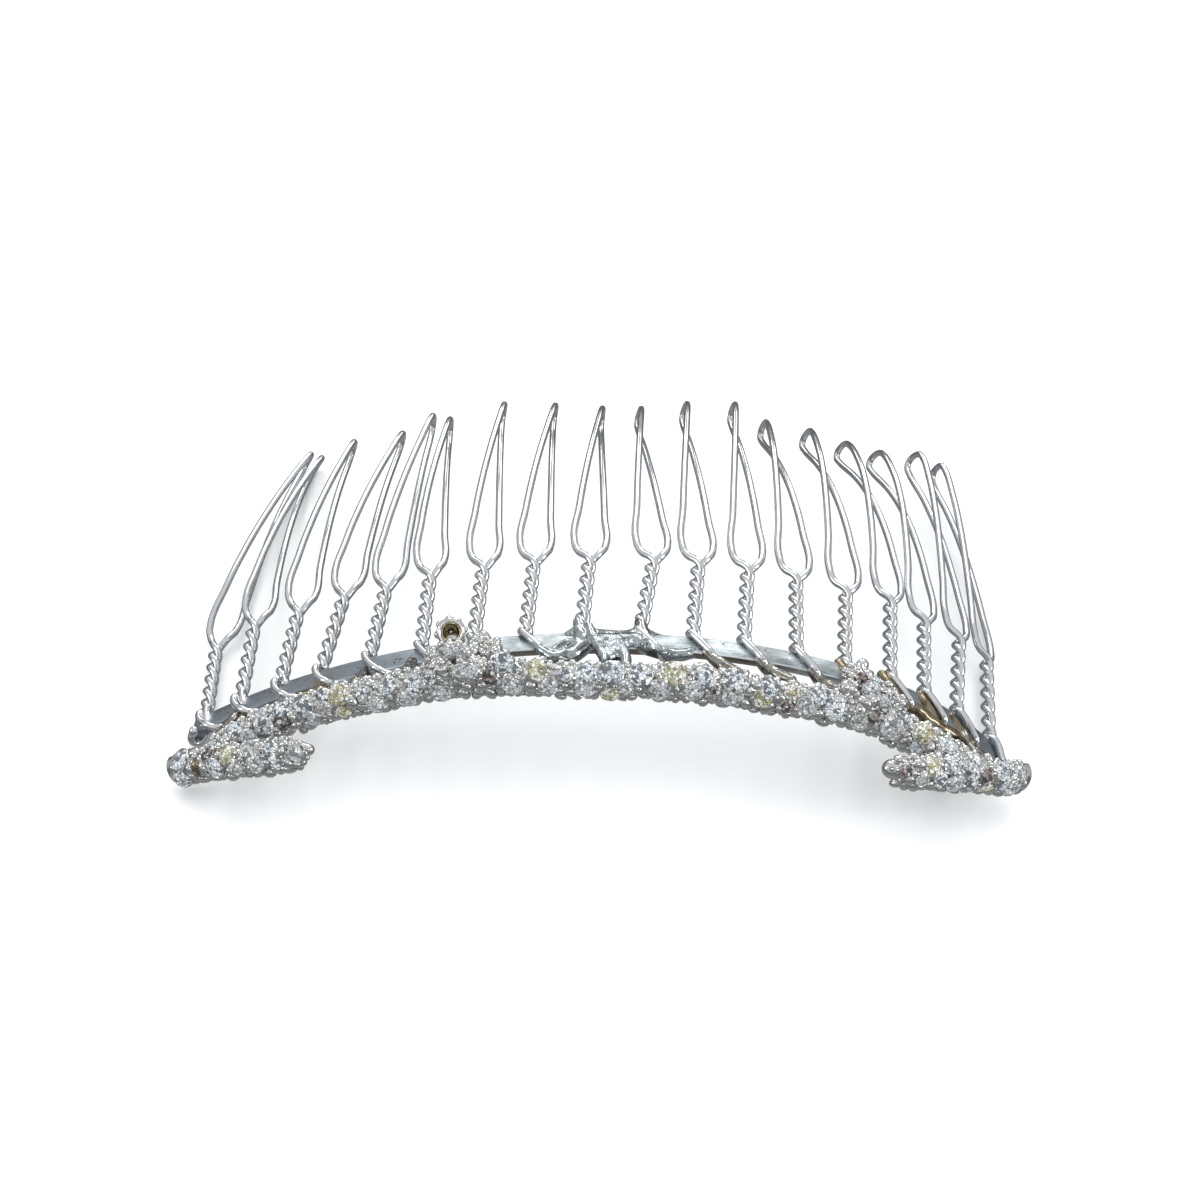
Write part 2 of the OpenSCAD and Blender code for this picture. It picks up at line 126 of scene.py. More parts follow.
# The last wire at the right ends under the bar
WRAP_LAST = (-0.2, 0.1, 0.6, 0.8, 0.95, 1.0)

# Centre lines of the band and of the two end strips: arc length from the middle, place in front
BAND = [
    (-34, 5.8), (-31, 4.8), (-28, 4.2), (-24, 3.9), (-19, 3.7), (-13, 3.5), (-8, 3.7), (-3, 4.1),
    (3, 4.0), (9, 3.7), (14, 3.7), (19, 3.4), (23, 3.6), (27, 4.3), (30, 5.2), (33, 5.0),
]
LEFT_STRIP = [(-37.7, 5.5), (-34.5, 6.3), (-31, 7.3), (-27.5, 8.2), (-24.1, 8.7)]
RIGHT_STRIP = [(23.2, 8.85), (27.1, 7.4), (30.2, 6.2), (33.2, 5.0), (36.2, 3.6)]

# The rounded ends of the strips: arc length, place in front, height, radius
STRIP_ENDS = {
    "left_strip_tip": [(-24.1, 8.7, 0.0, 0.5), (-25.3, 8.3, 0.1, 0.7)],
    "right_strip_tip": [(23.4, 8.7, 0.0, 0.8), (24.6, 8.35, 0.1, 0.85)],
    "left_strip_block": [(-36.9, 5.8, 0.0, 1.05), (-36.0, 6.0, 0.0, 1.2)],
    "right_strip_block": [(35.5, 4.0, 0.0, 1.05), (34.6, 4.4, 0.0, 1.2)],
}

# The stones, charted: arc length, angle round the band, radius, and c for a clear one,
# l for a milky one, o for a milky oval, y for a yellowed one, d for a dark one
BAND_STONES = [
    (-31.0, 68, 0.7, "c"), (-30.3, 24, 0.75, "l"), (-28.6, 30, 0.9, "c"), (-28.4, 78, 0.6, "l"),
    (-26.5, 72, 0.8, "c"), (-26.8, 26, 0.7, "d"), (-24.8, 54, 0.9, "c"), (-24.5, 4, 0.75, "l"),
    (-23.0, 28, 0.6, "l"), (-22.9, 76, 0.55, "c"), (-21.5, 60, 0.85, "y"), (-21.6, 0, 0.6, "y"),
    (-19.4, 42, 0.65, "c"), (-18.7, -6, 0.85, "l"), (-17.5, 58, 0.7, "c"), (-16.0, 4, 0.85, "l"),
    (-15.3, 42, 0.8, "c"), (-13.3, 0, 0.85, "l"), (-9.0, 44, 0.6, "d"),
    (-7.2, 21, 0.85, "l"), (-7.4, 66, 0.6, "c"), (-5.4, 64, 0.85, "y"), (-4.4, 20, 0.75, "l"),
    (-3.1, 58, 0.6, "c"), (-1.5, 66, 0.8, "c"), (-1.6, 16, 0.8, "l"), (0.4, 64, 0.95, "c"),
    (0.4, -8, 0.75, "y"), (1.6, 22, 0.65, "l"), (2.7, 62, 0.9, "c"), (4.2, 17, 0.85, "l"),
    (5.2, 72, 0.95, "y"), (6.9, 20, 0.8, "l"), (7.7, 64, 0.85, "c"), (8.6, 24, 0.5, "d"),
    (10.1, 16, 0.8, "l"), (10.2, 68, 1.0, "c"), (12.8, 68, 0.85, "c"), (12.5, 24, 0.7, "y"),
    (14.7, 58, 0.6, "y"), (14.6, 12, 0.6, "d"), (16.0, 24, 0.8, "l"), (16.8, 70, 0.9, "c"),
    (18.5, 36, 1.0, "c"), (20.7, 10, 0.7, "l"), (21.8, 40, 0.65, "d"), (23.5, 36, 1.0, "l"),
    (24.2, 78, 0.6, "c"), (26.0, 56, 0.85, "y"), (26.2, 12, 0.7, "c"), (28.2, 60, 0.75, "c"),
    (30.4, 62, 0.7, "l"), (-33.2, 60, 0.6, "c"),
]
LEFT_STONES = [
    (-35.9, 74, 0.88, "c"), (-36.2, 12, 0.88, "c"), (-33.0, 80, 0.6, "d"), (-32.3, 26, 0.8, "c"),
    (-30.8, 66, 0.75, "y"), (-30.2, 22, 0.65, "l"), (-28.8, 78, 0.75, "l"), (-28.2, 32, 0.85, "l"),
    (-26.9, 70, 0.6, "c"), (-26.4, 24, 0.65, "c"), (-24.9, 34, 0.75, "l"),
]
RIGHT_STONES = [
    (24.0, 42, 0.5, "d"), (25.4, 24, 0.65, "l"), (26.2, 62, 0.8, "y"), (27.0, 22, 0.6, "c"),
    (28.0, 74, 0.8, "c"), (28.5, 18, 0.85, "l"), (29.8, 60, 0.8, "c"), (30.2, 12, 0.6, "c"),
    (31.4, 48, 0.65, "d"), (31.7, 0, 0.6, "y"), (32.8, 70, 0.85, "c"), (33.0, 24, 0.65, "c"),
    (34.3, 8, 0.8, "l"), (34.7, 62, 0.7, "l"),
]
# The stones on the two clusters: arc length, place in front, height, lean back, lean right, radius, kind
CLUSTER_STONES = [
    (-12.2, 2.6, 2.3, 40, -4, 0.98, "o"), (-10.8, 4.9, 2.1, 48, 6, 0.98, "o"),
    (-8.1, 4.0, 1.9, 60, 12, 0.8, "c"), (-13.8, 4.9, 1.75, 60, -20, 0.55, "c"),
    (20.3, 1.5, 2.0, 35, -6, 0.45, "d"), (21.4, 2.0, 2.2, 45, 18, 0.5, "c"),
    (20.9, 3.0, 2.2, 55, 0, 0.7, "c"), (22.4, 3.6, 1.9, 50, 20, 0.7, "l"),
]

# Lumps of the two clusters and the solder: arc length, place in front of the bar, height, radius
LEFT_CLUSTER = [
    (-12.4, 0.4, 1.2, 0.9), (-12.3, 1.9, 1.4, 1.2), (-13.6, 2.4, 1.3, 0.9), (-13.0, 3.6, 1.2, 1.0),
    (-10.9, 2.6, 1.5, 0.9), (-10.1, 1.3, 1.5, 0.8), (-9.1, 2.0, 1.5, 0.8), (-8.2, 3.4, 1.4, 0.8),
    (-10.1, 4.0, 1.3, 1.0),
]
BALL_TIP = [(20.6, -0.5, 1.5, 0.55), (20.5, 0.1, 1.3, 0.4)]
RIGHT_CLUSTER = [
    (20.4, 0.3, 1.3, 0.5), (19.7, 0.7, 1.4, 0.7), (21.0, 1.2, 1.5, 0.8), (22.5, 1.7, 1.4, 0.8),
    (23.6, 2.5, 1.2, 0.8), (21.1, 3.2, 1.3, 1.0), (19.4, 2.7, 1.4, 0.8),
]
MIDDLE_SOLDER = [
    [(-5.8, 0.6, 0.45, 0.3), (-5.2, 1.4, 0.45, 0.33), (-4.4, 2.1, 0.45, 0.36), (-3.7, 2.1, 0.5, 0.36),
     (-3.3, 1.7, 0.55, 0.34)],
    [(-4.7, 1.9, 0.3, 0.35), (-4.0, 2.2, 0.2, 0.45), (-3.3, 2.1, 0.2, 0.52), (-2.6, 1.5, 0.2, 0.6),
     (-2.1, 0.8, 0.2, 0.65), (-1.6, 0.3, 0.3, 0.6)],
    [(-4.4, 1.6, 0.5, 0.25), (-3.9, 1.0, 0.55, 0.27), (-3.3, 0.6, 0.55, 0.3), (-2.1, 0.5, 0.5, 0.32)],
    [(-2.5, -2.2, 0.2, 0.4), (-2.3, -1.4, 0.2, 0.5), (-2.1, -0.3, 0.3, 0.65), (-1.7, 0.5, 0.3, 0.6)],
    [(-1.6, -1.2, 0.7, 0.3), (-1.3, 0.1, 0.8, 0.34), (-0.7, 1.4, 0.75, 0.34), (-0.2, 2.6, 0.9, 0.36),
     (-0.1, 3.3, 0.95, 0.36)],
    [(-3.4, -0.8, 0.05, 0.22), (-2.7, -1.1, 0.15, 0.36), (-1.0, -0.5, 0.3, 0.52),
     (0.8, -0.4, 0.3, 0.5), (1.6, -0.5, 0.3, 0.5), (2.6, -1.2, 0.3, 0.45), (3.7, -0.9, 0.15, 0.3),
     (4.6, -0.8, 0.1, 0.22)],
    [(-0.8, 0.3, 0.35, 0.65), (0.2, 0.4, 0.35, 0.75), (1.2, 0.2, 0.35, 0.7), (2.4, -0.1, 0.35, 0.6)],
    [(-0.4, 1.0, 0.5, 0.5), (0.5, 1.0, 0.5, 0.55), (1.0, 1.0, 0.45, 0.45), (1.3, 1.6, 0.5, 0.4),
     (1.5, 2.4, 0.7, 0.4), (1.5, 3.3, 0.9, 0.38)],
    [(0.1, 1.5, 0.4, 0.5), (0.6, 1.7, 0.45, 0.5), (0.3, 2.3, 0.65, 0.4)],
    [(2.5, -2.4, 0.2, 0.4), (2.6, -1.8, 0.3, 0.45), (2.7, -0.8, 0.35, 0.55), (2.7, 0.3, 0.4, 0.6)],
    [(2.8, -0.9, 0.6, 0.3), (3.3, 0.2, 0.7, 0.32), (4.0, 1.0, 0.65, 0.32), (4.5, 1.3, 0.6, 0.3)],
    [(2.4, 0.3, 0.2, 0.5), (3.8, 0.8, 0.25, 0.5), (4.8, 1.1, 0.2, 0.45), (6.0, 0.9, 0.15, 0.45),
     (6.9, 0.5, 0.15, 0.4)],
]
# Arc lengths of the solder necks between the bar and the band
BRIDGES = [-32.6, -20.3, -16.2, 20.2, 31.1]
# Solder below the ends of three wires on the right, in the same columns as the lumps
WEDGES = [
    [(7.9, 0.7, 0.6, 0.3), (8.6, 1.3, 0.45, 0.42), (9.3, 1.9, 0.45, 0.46), (10.2, 2.9, 1.0, 0.4)],
    [(12.1, 0.7, 0.6, 0.3), (12.8, 1.3, 0.45, 0.45), (13.6, 1.8, 0.4, 0.5), (14.7, 2.8, 1.0, 0.42)],
    [(16.5, 0.7, 0.6, 0.3), (17.2, 1.3, 0.45, 0.45), (18.0, 1.9, 0.4, 0.5), (19.0, 2.7, 1.0, 0.42)],
]
# Gilded and brown solder along the bar, silver solder over the feet of the first teeth, and the ball at
# the wire's end: arc length along the bar, height, out, radius
GOLD_FILLETS = [
    [(22.9, 1.2, 0.3, 0.36), (23.3, 0.3, 0.35, 0.45), (23.9, -0.6, 0.4, 0.45), (24.5, -1.3, 0.3, 0.38)],
    [(26.6, 0.9, 0.2, 0.3), (27.0, 0.1, 0.25, 0.38), (27.5, -0.7, 0.25, 0.42), (27.9, -1.4, 0.2, 0.4)],
    [(19.0, 1.2, 0.15, 0.26), (19.3, 0.5, 0.25, 0.32), (19.8, -0.1, 0.3, 0.32)],
]
BROWN_FILLETS = [
    [(25.2, -1.1, 0.1, 0.5), (26.2, -1.15, 0.15, 0.62), (27.3, -1.5, 0.05, 0.58), (28.6, -1.6, 0.0, 0.56),
     (30.2, -1.6, 0.0, 0.52), (31.4, -1.5, 0.0, 0.45)],
    [(29.9, 0.4, 0.15, 0.28), (30.3, -0.3, 0.2, 0.4), (30.9, -1.0, 0.15, 0.48)],
    [(-33.6, -1.2, 0.1, 0.3), (-32.0, -1.3, 0.1, 0.36)],
    [(-26.6, -1.1, 0.1, 0.26), (-25.0, -1.2, 0.1, 0.32), (-23.6, -1.2, 0.1, 0.26)],
]
FOOT_FILLETS = [
    [(-36.5, 1.7, 0.2, 0.38), (-36.2, 0.7, 0.3, 0.4), (-36.0, -0.2, 0.25, 0.38)],
    [(-32.6, 1.6, 0.2, 0.38), (-32.3, 0.8, 0.3, 0.38), (-32.1, 0.2, 0.25, 0.3)],
    [(-28.3, 1.5, 0.1, 0.34), (-28.0, 0.8, 0.25, 0.3)],
]
WIRE_BALL = [(-36.85, -1.05, 0.72, 0.36), (-37.1, -1.15, 0.55, 0.26)]
# The gilded groove beside the two stones at the left end, in the columns of the lumps
GROOVE = [(-34.6, 7.25, 0.1, 0.42), (-34.6, 7.05, 0.75, 0.42)]
# Brown spots on the wires: arc length, height, out, radius
TARNISH = [
    (24.3, 0.4, 0.7, 1.4), (25.0, -0.6, 0.7, 1.2), (27.7, 0.3, 0.7, 1.6), (19.6, 0.9, 0.6, 0.9),
    (12.6, -0.8, 0.6, 1.0), (16.8, -0.8, 0.6, 0.9), (-24.2, -0.7, 0.6, 1.7),
]
# The empty cup: arc length, place in front and height, how far it leans back, and its radius among grains
CUP = (-12.4, 0.0, 1.9)
CUP_FACE = 45
CUP_ROOM = 1.5

# Where the camera stands, and its turns about X, Y and Z
VIEW_FROM = (5.117, -133.711, 129.58)
VIEW_TURN = (46.9997, -0.2078, 2.6724)

# The soft lights: name, place over the floor and size in metres, power in watts, whether metal mirrors it
LIGHTS = [
    ("overhead", (0.0, 0.0, 1.3), (1.8, 1.8), 17.0, False),
    ("back_left", (-0.20, 0.80, 0.50), (0.15, 0.95), 1.5, True),
    ("back_right", (0.20, 0.80, 0.50), (0.15, 0.95), 1.5, True),
    ("front_strip", (0.1, -0.70, 0.75), (0.5, 0.15), 1.0, True),
    ("left_fill", (-0.85, -0.10, 0.35), (0.25, 0.5), 1.0, True),
    ("right_fill", (0.80, -0.20, 0.40), (0.25, 0.5), 1.8, True),
]
# The light of the air by height, from straight down at 0 to straight up at 1
AIR = [(0.0, 0.34), (0.3, 0.22), (0.46, 0.13), (0.54, 0.46), (0.7, 0.62), (1.0, 0.75)]
AIR_TINT = (0.96, 0.99, 1.02)
# Round the camera the air darkens, between two cosines of the angle to it, to a share of its light
DARK_SIDE = {"From Min": 0.80, "From Max": 0.96, "To Min": 1.0, "To Max": 0.22}


class CombSizes(bpy.types.PropertyGroup):
    wire: bpy.props.FloatProperty(
        name="Wire", description="Diameter of the tooth wire",
        default=0.00062, unit="LENGTH", precision=5)
    loop: bpy.props.FloatProperty(
        name="Loop", description="Width of a tooth's loop between its wires",
        default=0.0023, unit="LENGTH", precision=5)
    bar_width: bpy.props.FloatProperty(
        name="Bar width", description="Width of the flat bar",
        default=0.0019, unit="LENGTH", precision=5)
    bar_thickness: bpy.props.FloatProperty(
        name="Bar thickness", description="Thickness of the flat bar",
        default=0.0007, unit="LENGTH", precision=5)
    shell: bpy.props.FloatProperty(
        name="Shell radius", description="Outer radius of the rounded metal under the stones",
        default=0.0013, unit="LENGTH", precision=5)
    shell_wall: bpy.props.FloatProperty(
        name="Shell wall", description="Thickness of the hollow-backed shell",
        default=0.00028, unit="LENGTH", precision=5)
    girdle: bpy.props.FloatProperty(
        name="Girdle radius", description="How far the widest part of a stone lies from the shell's centre",
        default=0.00145, unit="LENGTH", precision=5)
    grain: bpy.props.FloatProperty(
        name="Grain", description="Radius of the small round grains between the stones",
        default=0.00043, unit="LENGTH", precision=5)


class CombColours(bpy.types.PropertyGroup):
    silver: bpy.props.FloatVectorProperty(
        name="Silver", description="Colour of the bright silver",
        default=(0.68, 0.775, 0.785), subtype="COLOR")
    bar: bpy.props.FloatVectorProperty(
        name="Bar", description="Colour of the flat bar",
        default=(0.42, 0.46, 0.47), subtype="COLOR")
    tarnish: bpy.props.FloatVectorProperty(
        name="Tarnish", description="Colour of the brown tarnish",
        default=(0.30, 0.21, 0.11), subtype="COLOR")
    grime: bpy.props.FloatVectorProperty(
        name="Grime", description="Colour of the dark grime between the grains",
        default=(0.10, 0.085, 0.07), subtype="COLOR")
    gilt: bpy.props.FloatVectorProperty(
        name="Gilt", description="Colour of the gilt inside the empty cup",
        default=(0.40, 0.35, 0.22), subtype="COLOR")


class CombStage(bpy.types.PropertyGroup):
    floor: bpy.props.FloatProperty(
        name="Floor", description="Side of the square floor", default=3.0, unit="LENGTH")
    lens: bpy.props.FloatProperty(
        name="Lens", description="Focal length of the camera", default=69.0, unit="CAMERA")


def lookup(x, rows):
    """Reads a table of (x, y) rows at x, straight between the rows."""
    if x <= rows[0][0]:
        return rows[0][1]
    for (x0, y0), (x1, y1) in zip(rows, rows[1:]):
        if x <= x1:
            return y0 + (y1 - y0) * (x - x0) / (x1 - x0)
    return rows[-1][1]


def mix(a, b, k):
    return a + (b - a) * k


def clamp(x):
    return min(max(x, 0), 1)


def bar_angle(s):
    """Direction of the bar at an arc length, in radians down to the right."""
    return math.radians(BAR_LEAN + RIGHT_BEND * (max(s, 0) / BEND_SPAN) ** 3) + s / ARCH_R


def walked(way):
    """Places along the bar, walked in short steps from the middle."""
    x = z = 0.0
    rows = []
    for i in range(int(LINE_HALF / LINE_STEP) + 1):
        rows.append((way * i * LINE_STEP, x, z))
        angle = bar_angle(way * (i + 0.5) * LINE_STEP)
        x += way * LINE_STEP * math.cos(angle)
        z -= way * LINE_STEP * math.sin(angle)
    return rows


LINE = walked(-1)[:0:-1] + walked(1)


def bar_point(s, a, n):
    """A point by arc length along the bar, height along the teeth and distance out from its middle."""
    at = min(max((s + LINE_HALF) / LINE_STEP, 0), len(LINE) - 1.001)
    i = int(at)
    (_, x0, z0), (_, x1, z1) = LINE[i], LINE[i + 1]
    angle = bar_angle(s)
    return Vector((mix(x0, x1, at - i) + n * math.sin(angle), a, mix(z0, z1, at - i) + n * math.cos(angle)))


def arch_point(s, f, n):
    """The same for the heading, which keeps the plain arch: f runs forward, away from the teeth."""
    angle = s / ARCH_R
    return Vector(((ARCH_R + n) * math.sin(angle), -f, (ARCH_R + n) * math.cos(angle) - ARCH_R))


def smooth_line(rows, steps=6):
    """A curved line through the rows of a table, drawn in short pieces."""
    line = []
    for i in range(len(rows) - 1):
        p, a, b, q = (Vector(rows[max(i - 1, 0)]), Vector(rows[i]), Vector(rows[i + 1]),
                      Vector(rows[min(i + 2, len(rows) - 1)]))
        for j in range(steps):
            k = j / steps
            line.append(tuple(0.5 * (2 * a + (b - p) * k + (2 * p - 5 * a + 4 * b - q) * k * k
                                     + (3 * a - p - 3 * b + q) * k ** 3)))
    return line + [tuple(rows[-1])]


def band_point(line, s, across, out):
    """A point of a band by arc length, forward and outward distance from its centre line."""
    slope = (lookup(s + 0.4, line) - lookup(s - 0.4, line)) / 0.8
    tangent = Vector((1, slope)).normalized()
    return arch_point(s - tangent.y * across, lookup(s, line) + tangent.x * across, out)


def rested(point):
    """A point of the comb's own frame, in mm, at its place on the floor in metres."""
    return REST @ (Vector(point) * MM)


def deselect():
    if bpy.context.object and bpy.context.object.mode != "OBJECT":
        bpy.ops.object.mode_set(mode="OBJECT")
    bpy.ops.object.select_all(action="DESELECT")


def named(name):
    piece = bpy.context.object
    piece.name = name
    piece.data.name = name
    return piece


def only(piece):
    deselect()
    piece.select_set(True)
    bpy.context.view_layer.objects.active = piece


def pick(piece, kind, test):
    """Selects what passes the test among a piece's vertices or edges, and opens it for editing."""
    only(piece)
    bpy.ops.object.mode_set(mode="EDIT")
    bpy.ops.mesh.select_mode(type=kind)
    bpy.ops.mesh.select_all(action="DESELECT")
    leave_edit()
    mesh = piece.data
    for item in {"VERT": mesh.vertices, "EDGE": mesh.edges}[kind]:
        item.select = test(item)
    bpy.ops.object.mode_set(mode="EDIT")


def edit_all():
    bpy.ops.object.mode_set(mode="EDIT")
    bpy.ops.mesh.select_all(action="SELECT")


def leave_edit():
    bpy.ops.object.mode_set(mode="OBJECT")


def cut_off(way, reach, fill=False):
    """Opens the active piece for editing and drops what lies beyond a plane."""
    edit_all()
    bpy.ops.mesh.bisect(plane_co=way * reach, plane_no=way, use_fill=fill, clear_outer=True,
                        threshold=0.0001)


def keep_place():
    """Takes the active object's place, turn and size into its mesh."""
    bpy.ops.object.transform_apply(location=True, rotation=True, scale=True)


def edge_way(mesh, edge):
    """The vector from one end of an edge to the other."""
    a, b = edge.vertices
    return mesh.vertices[b].co - mesh.vertices[a].co


def tidy_normals(piece):
    only(piece)
    edit_all()
    bpy.ops.mesh.normals_make_consistent(inside=False)
    leave_edit()


def modified(piece, kind, **settings):
    """Adds a modifier to a piece and applies it."""
    only(piece)
    modifier = piece.modifiers.new(kind.title(), kind)
    for name, value in settings.items():
        setattr(modifier, name, value)
    bpy.ops.object.modifier_apply(modifier=modifier.name)


def bend(piece, rule):
    """Moves each vertex from a flat pattern in mm to its place on the comb at rest."""
    for vertex in piece.data.vertices:
        vertex.co = rested(rule(vertex.co))
    piece.data.update()


def turned(name, profile, sides):
    """A round piece about Z, drawn ring by ring from rows of (radius, height), closed at both ends."""
    deselect()
    radius, height = profile[0]
    bpy.ops.mesh.primitive_circle_add(vertices=sides, radius=radius, fill_type="NGON",
                                      location=(0, 0, height))
    keep_place()
    piece = named(name)
    edit_all()
    for r, z in profile[1:]:
        bpy.ops.mesh.extrude_region_move(TRANSFORM_OT_translate={"value": (0, 0, z - height)})
        share = r / radius
        bpy.ops.transform.resize(value=(share, share, 1), center_override=(0, 0, z))
        radius, height = r, z
    leave_edit()
    tidy_normals(piece)
    return piece


def copied(pattern, place):
    """A copy of a pattern with its own mesh, moved by a matrix in mm to its place on the comb at rest."""
    piece = pattern.copy()
    piece.data = pattern.data.copy()
    piece.data.transform(REST @ Matrix.Scale(MM, 4) @ place)
    bpy.context.scene.collection.objects.link(piece)
    return piece


def joined(name, pieces):
    """Several objects made one."""
    deselect()
    for piece in pieces:
        piece.select_set(True)
    bpy.context.view_layer.objects.active = pieces[0]
    bpy.ops.object.join()
    return named(name)


def scrap(*pieces):
    for piece in pieces:
        bpy.data.objects.remove(piece)


def frame_at(origin, out, along, turn=0.0, size=(1, 1, 1)):
    """A place matrix whose Z is out and whose X lies near along, turned about Z and sized."""
    z = Vector(out).normalized()
    x = Vector(along)
    x = (x - x.dot(z) * z).normalized()
    axes = Matrix((x, z.cross(x), z)).transposed().to_4x4()
    return (Matrix.Translation(Vector(origin)) @ axes @ Matrix.Rotation(turn, 4, "Z")
            @ Matrix.Diagonal((*size, 1)))


def band_place(line, s, angle, reach):
    """Point, outward way and way along a band, at an angle round its section in degrees."""
    c, n = math.cos(math.radians(angle)), math.sin(math.radians(angle))
    here = band_point(line, s, reach * c, reach * n)
    out = band_point(line, s, (reach + 0.1) * c, (reach + 0.1) * n) - here
    along = band_point(line, s + 0.1, reach * c, reach * n) - here
    return here, out, along


class Shade:
    """One output of a node. Sums on it add Math nodes to the same tree."""

    def __init__(self, nodes, socket):
        self.nodes = nodes
        self.socket = socket

    def _sum(self, operation, first, second):
        return self.nodes.node("ShaderNodeMath", {"operation": operation}, {0: first, 1: second})

    def __add__(self, other):
        return self._sum("ADD", self, other)

    def __radd__(self, other):
        return self._sum("ADD", other, self)

    def __mul__(self, other):
        return self._sum("MULTIPLY", self, other)

    def __rmul__(self, other):
        return self._sum("MULTIPLY", other, self)


class Nodes:
    """A node tree being made: node() adds any node."""

    def __init__(self, owner):
        owner.use_nodes = True
        self.tree = owner.node_tree

    def feed(self, socket, value):
        if isinstance(value, Shade):
            self.tree.links.new(value.socket, socket)
        elif socket.type == "RGBA":
            socket.default_value = (*tuple(value)[:3], 1)
        else:
            socket.default_value = value

    def node(self, kind, settings=None, sockets=None, output=0):
        made = self.tree.nodes.new(kind)
        for name, value in (settings or {}).items():
            setattr(made, name, value)
        for name, value in (sockets or {}).items():
            self.feed(made.inputs[name], value)
        return Shade(self, made.outputs[output])


class Finish(Nodes):
    """A material being made: set() feeds its shader."""

    def __init__(self, name, **constants):
        self.material = bpy.data.materials.new(name)
        super().__init__(self.material)
        self.set(**constants)

    def set(self, **sockets):
        shader = self.tree.nodes["Principled BSDF"]
        for name, value in sockets.items():
            self.feed(shader.inputs[name.replace("_", " ")], value)

    def place(self, scale=(1, 1, 1)):
        """Object coordinates in millimetres, stretched."""
        where = self.node("ShaderNodeTexCoord", output="Object")
        return self.node("ShaderNodeMapping", sockets={"Vector": where, "Scale": [k / MM for k in scale]})

    def noise(self, size, scale=(1, 1, 1), detail=3.0, roughness=0.6):
        """Cloudy noise whose lumps are about size mm across."""
        return self.node("ShaderNodeTexNoise", sockets={
            "Vector": self.place(scale), "Scale": 1 / size, "Detail": detail, "Roughness": roughness})

    def step(self, value, low, high):
        """0 below low, 1 above high, smooth between."""
        return self.node("ShaderNodeMapRange", {"interpolation_type": "SMOOTHSTEP"}, {
            "Value": value, "From Min": low, "From Max": high})

    def blend(self, mask, first, second):
        """A colour between two, by a mask."""
        return self.node("ShaderNodeMix", {"data_type": "RGBA"}, {0: mask, 6: first, 7: second}, output=2)

    def near(self, centre, radius):
        """1 at a place of the comb, falling to 0 at a radius, both in mm."""
        where = self.node("ShaderNodeTexCoord", output="Object")
        away = self.node("ShaderNodeVectorMath", {"operation": "DISTANCE"}, {
            0: where, 1: rested(centre)}, output="Value")
        return self.step(away, radius * MM, 0.0)

    def bump(self, height, strength, distance):
        return self.node("ShaderNodeBump", sockets={
            "Strength": strength, "Distance": distance * MM, "Height": height})


def colours():
    return bpy.context.scene.comb_colours


def sizes():
    return bpy.context.scene.comb_sizes


def toned(colour, share):
    return [share * k for k in colour]


def once(maker):
    """Makes a material, with its maker's name or a given one, the first time that it is asked for."""
    def ready(*name):
        return bpy.data.materials.get(name[0] if name else maker.__name__) or maker(*name)
    return ready


def tarnished(f):
    """1 inside the brown spots and 0 outside."""
    brown = 0.0
    for s, a, n, r in TARNISH:
        brown = f.near(bar_point(s, a, n), r) + brown
    return brown * f.step(f.noise(0.7), 0.35, 0.55)


@once
def silver_wire():
    c = colours()
    f = Finish("silver_wire", Metallic=1.0)
    brown = tarnished(f)
    fine = f.noise(0.35, detail=4.0)
    cloud = f.noise(2.2)
    tone = f.blend(f.step(cloud, 0.35, 0.7), c.silver, toned(c.silver, 0.93))
    f.set(
        Base_Color=f.blend(brown, tone, c.tarnish),
        Roughness=0.2 + 0.16 * fine + 0.2 * brown,
        Normal=f.bump(fine, 0.25, 0.02),
    )
    return f.material


@once
def bar_silver():
    c = colours()
    f = Finish("bar_silver", Metallic=1.0)
    streaks = f.noise(0.4, scale=(0.5, 2, 2), detail=6.0, roughness=0.75)
    cloud = f.noise(2.2, scale=(0.5, 1, 1), detail=4.0)
    pits = f.step(f.noise(0.5, detail=2.0), 0.66, 0.70)
    where = f.node("ShaderNodeTexCoord", output="Object")
    forward = f.node("ShaderNodeSeparateXYZ", sockets={0: where}, output="Y")
    edge = f.step(forward, rested((0, -0.88, 0)).y, rested((0, -0.94, 0)).y)
    # Painted highlight: a bright line along the bar's front edge
    rim = f.step(forward, rested((0, -0.70, 0)).y, rested((0, -0.82, 0)).y)
    # Painted shade: the bar is painted a darker slate towards its ends, away from its middle
    middle = f.near((3, 0, 0), 36)
    tone = f.blend(f.step(cloud, 0.40, 0.60), toned(c.bar, 0.62), toned(c.bar, 1.6))
    tone = f.blend(f.step(streaks, 0.45, 0.65), tone, c.bar)
    painted_shade_slate = f.blend(streaks, (0.22, 0.25, 0.29), (0.44, 0.49, 0.52))
    tone = f.blend(f.step(middle, 0.30, 0.75), painted_shade_slate, tone)
    scratches = f.step(f.noise(0.22, scale=(0.3, 1.5, 1.5), detail=4.0), 0.56, 0.66)
    tone = f.blend(0.55 * scratches, tone, toned(c.bar, 0.4))
    tone = f.blend(pits, tone, c.grime)
    # The painted highlight along the front edge
    tone = f.blend(0.8 * rim, tone, toned(c.bar, 1.9))
    tone = f.blend(tarnished(f), tone, c.tarnish)
    under = f.blend(f.step(cloud, 0.4, 0.6), (0.20, 0.16, 0.11), (0.36, 0.31, 0.25))
    f.set(
        Base_Color=f.blend(edge, tone, under),
        Roughness=0.14 + 0.36 * streaks + 0.1 * edge,
        Normal=f.bump(streaks + 0.8 * cloud, 0.6, 0.06),
    )
    return f.material


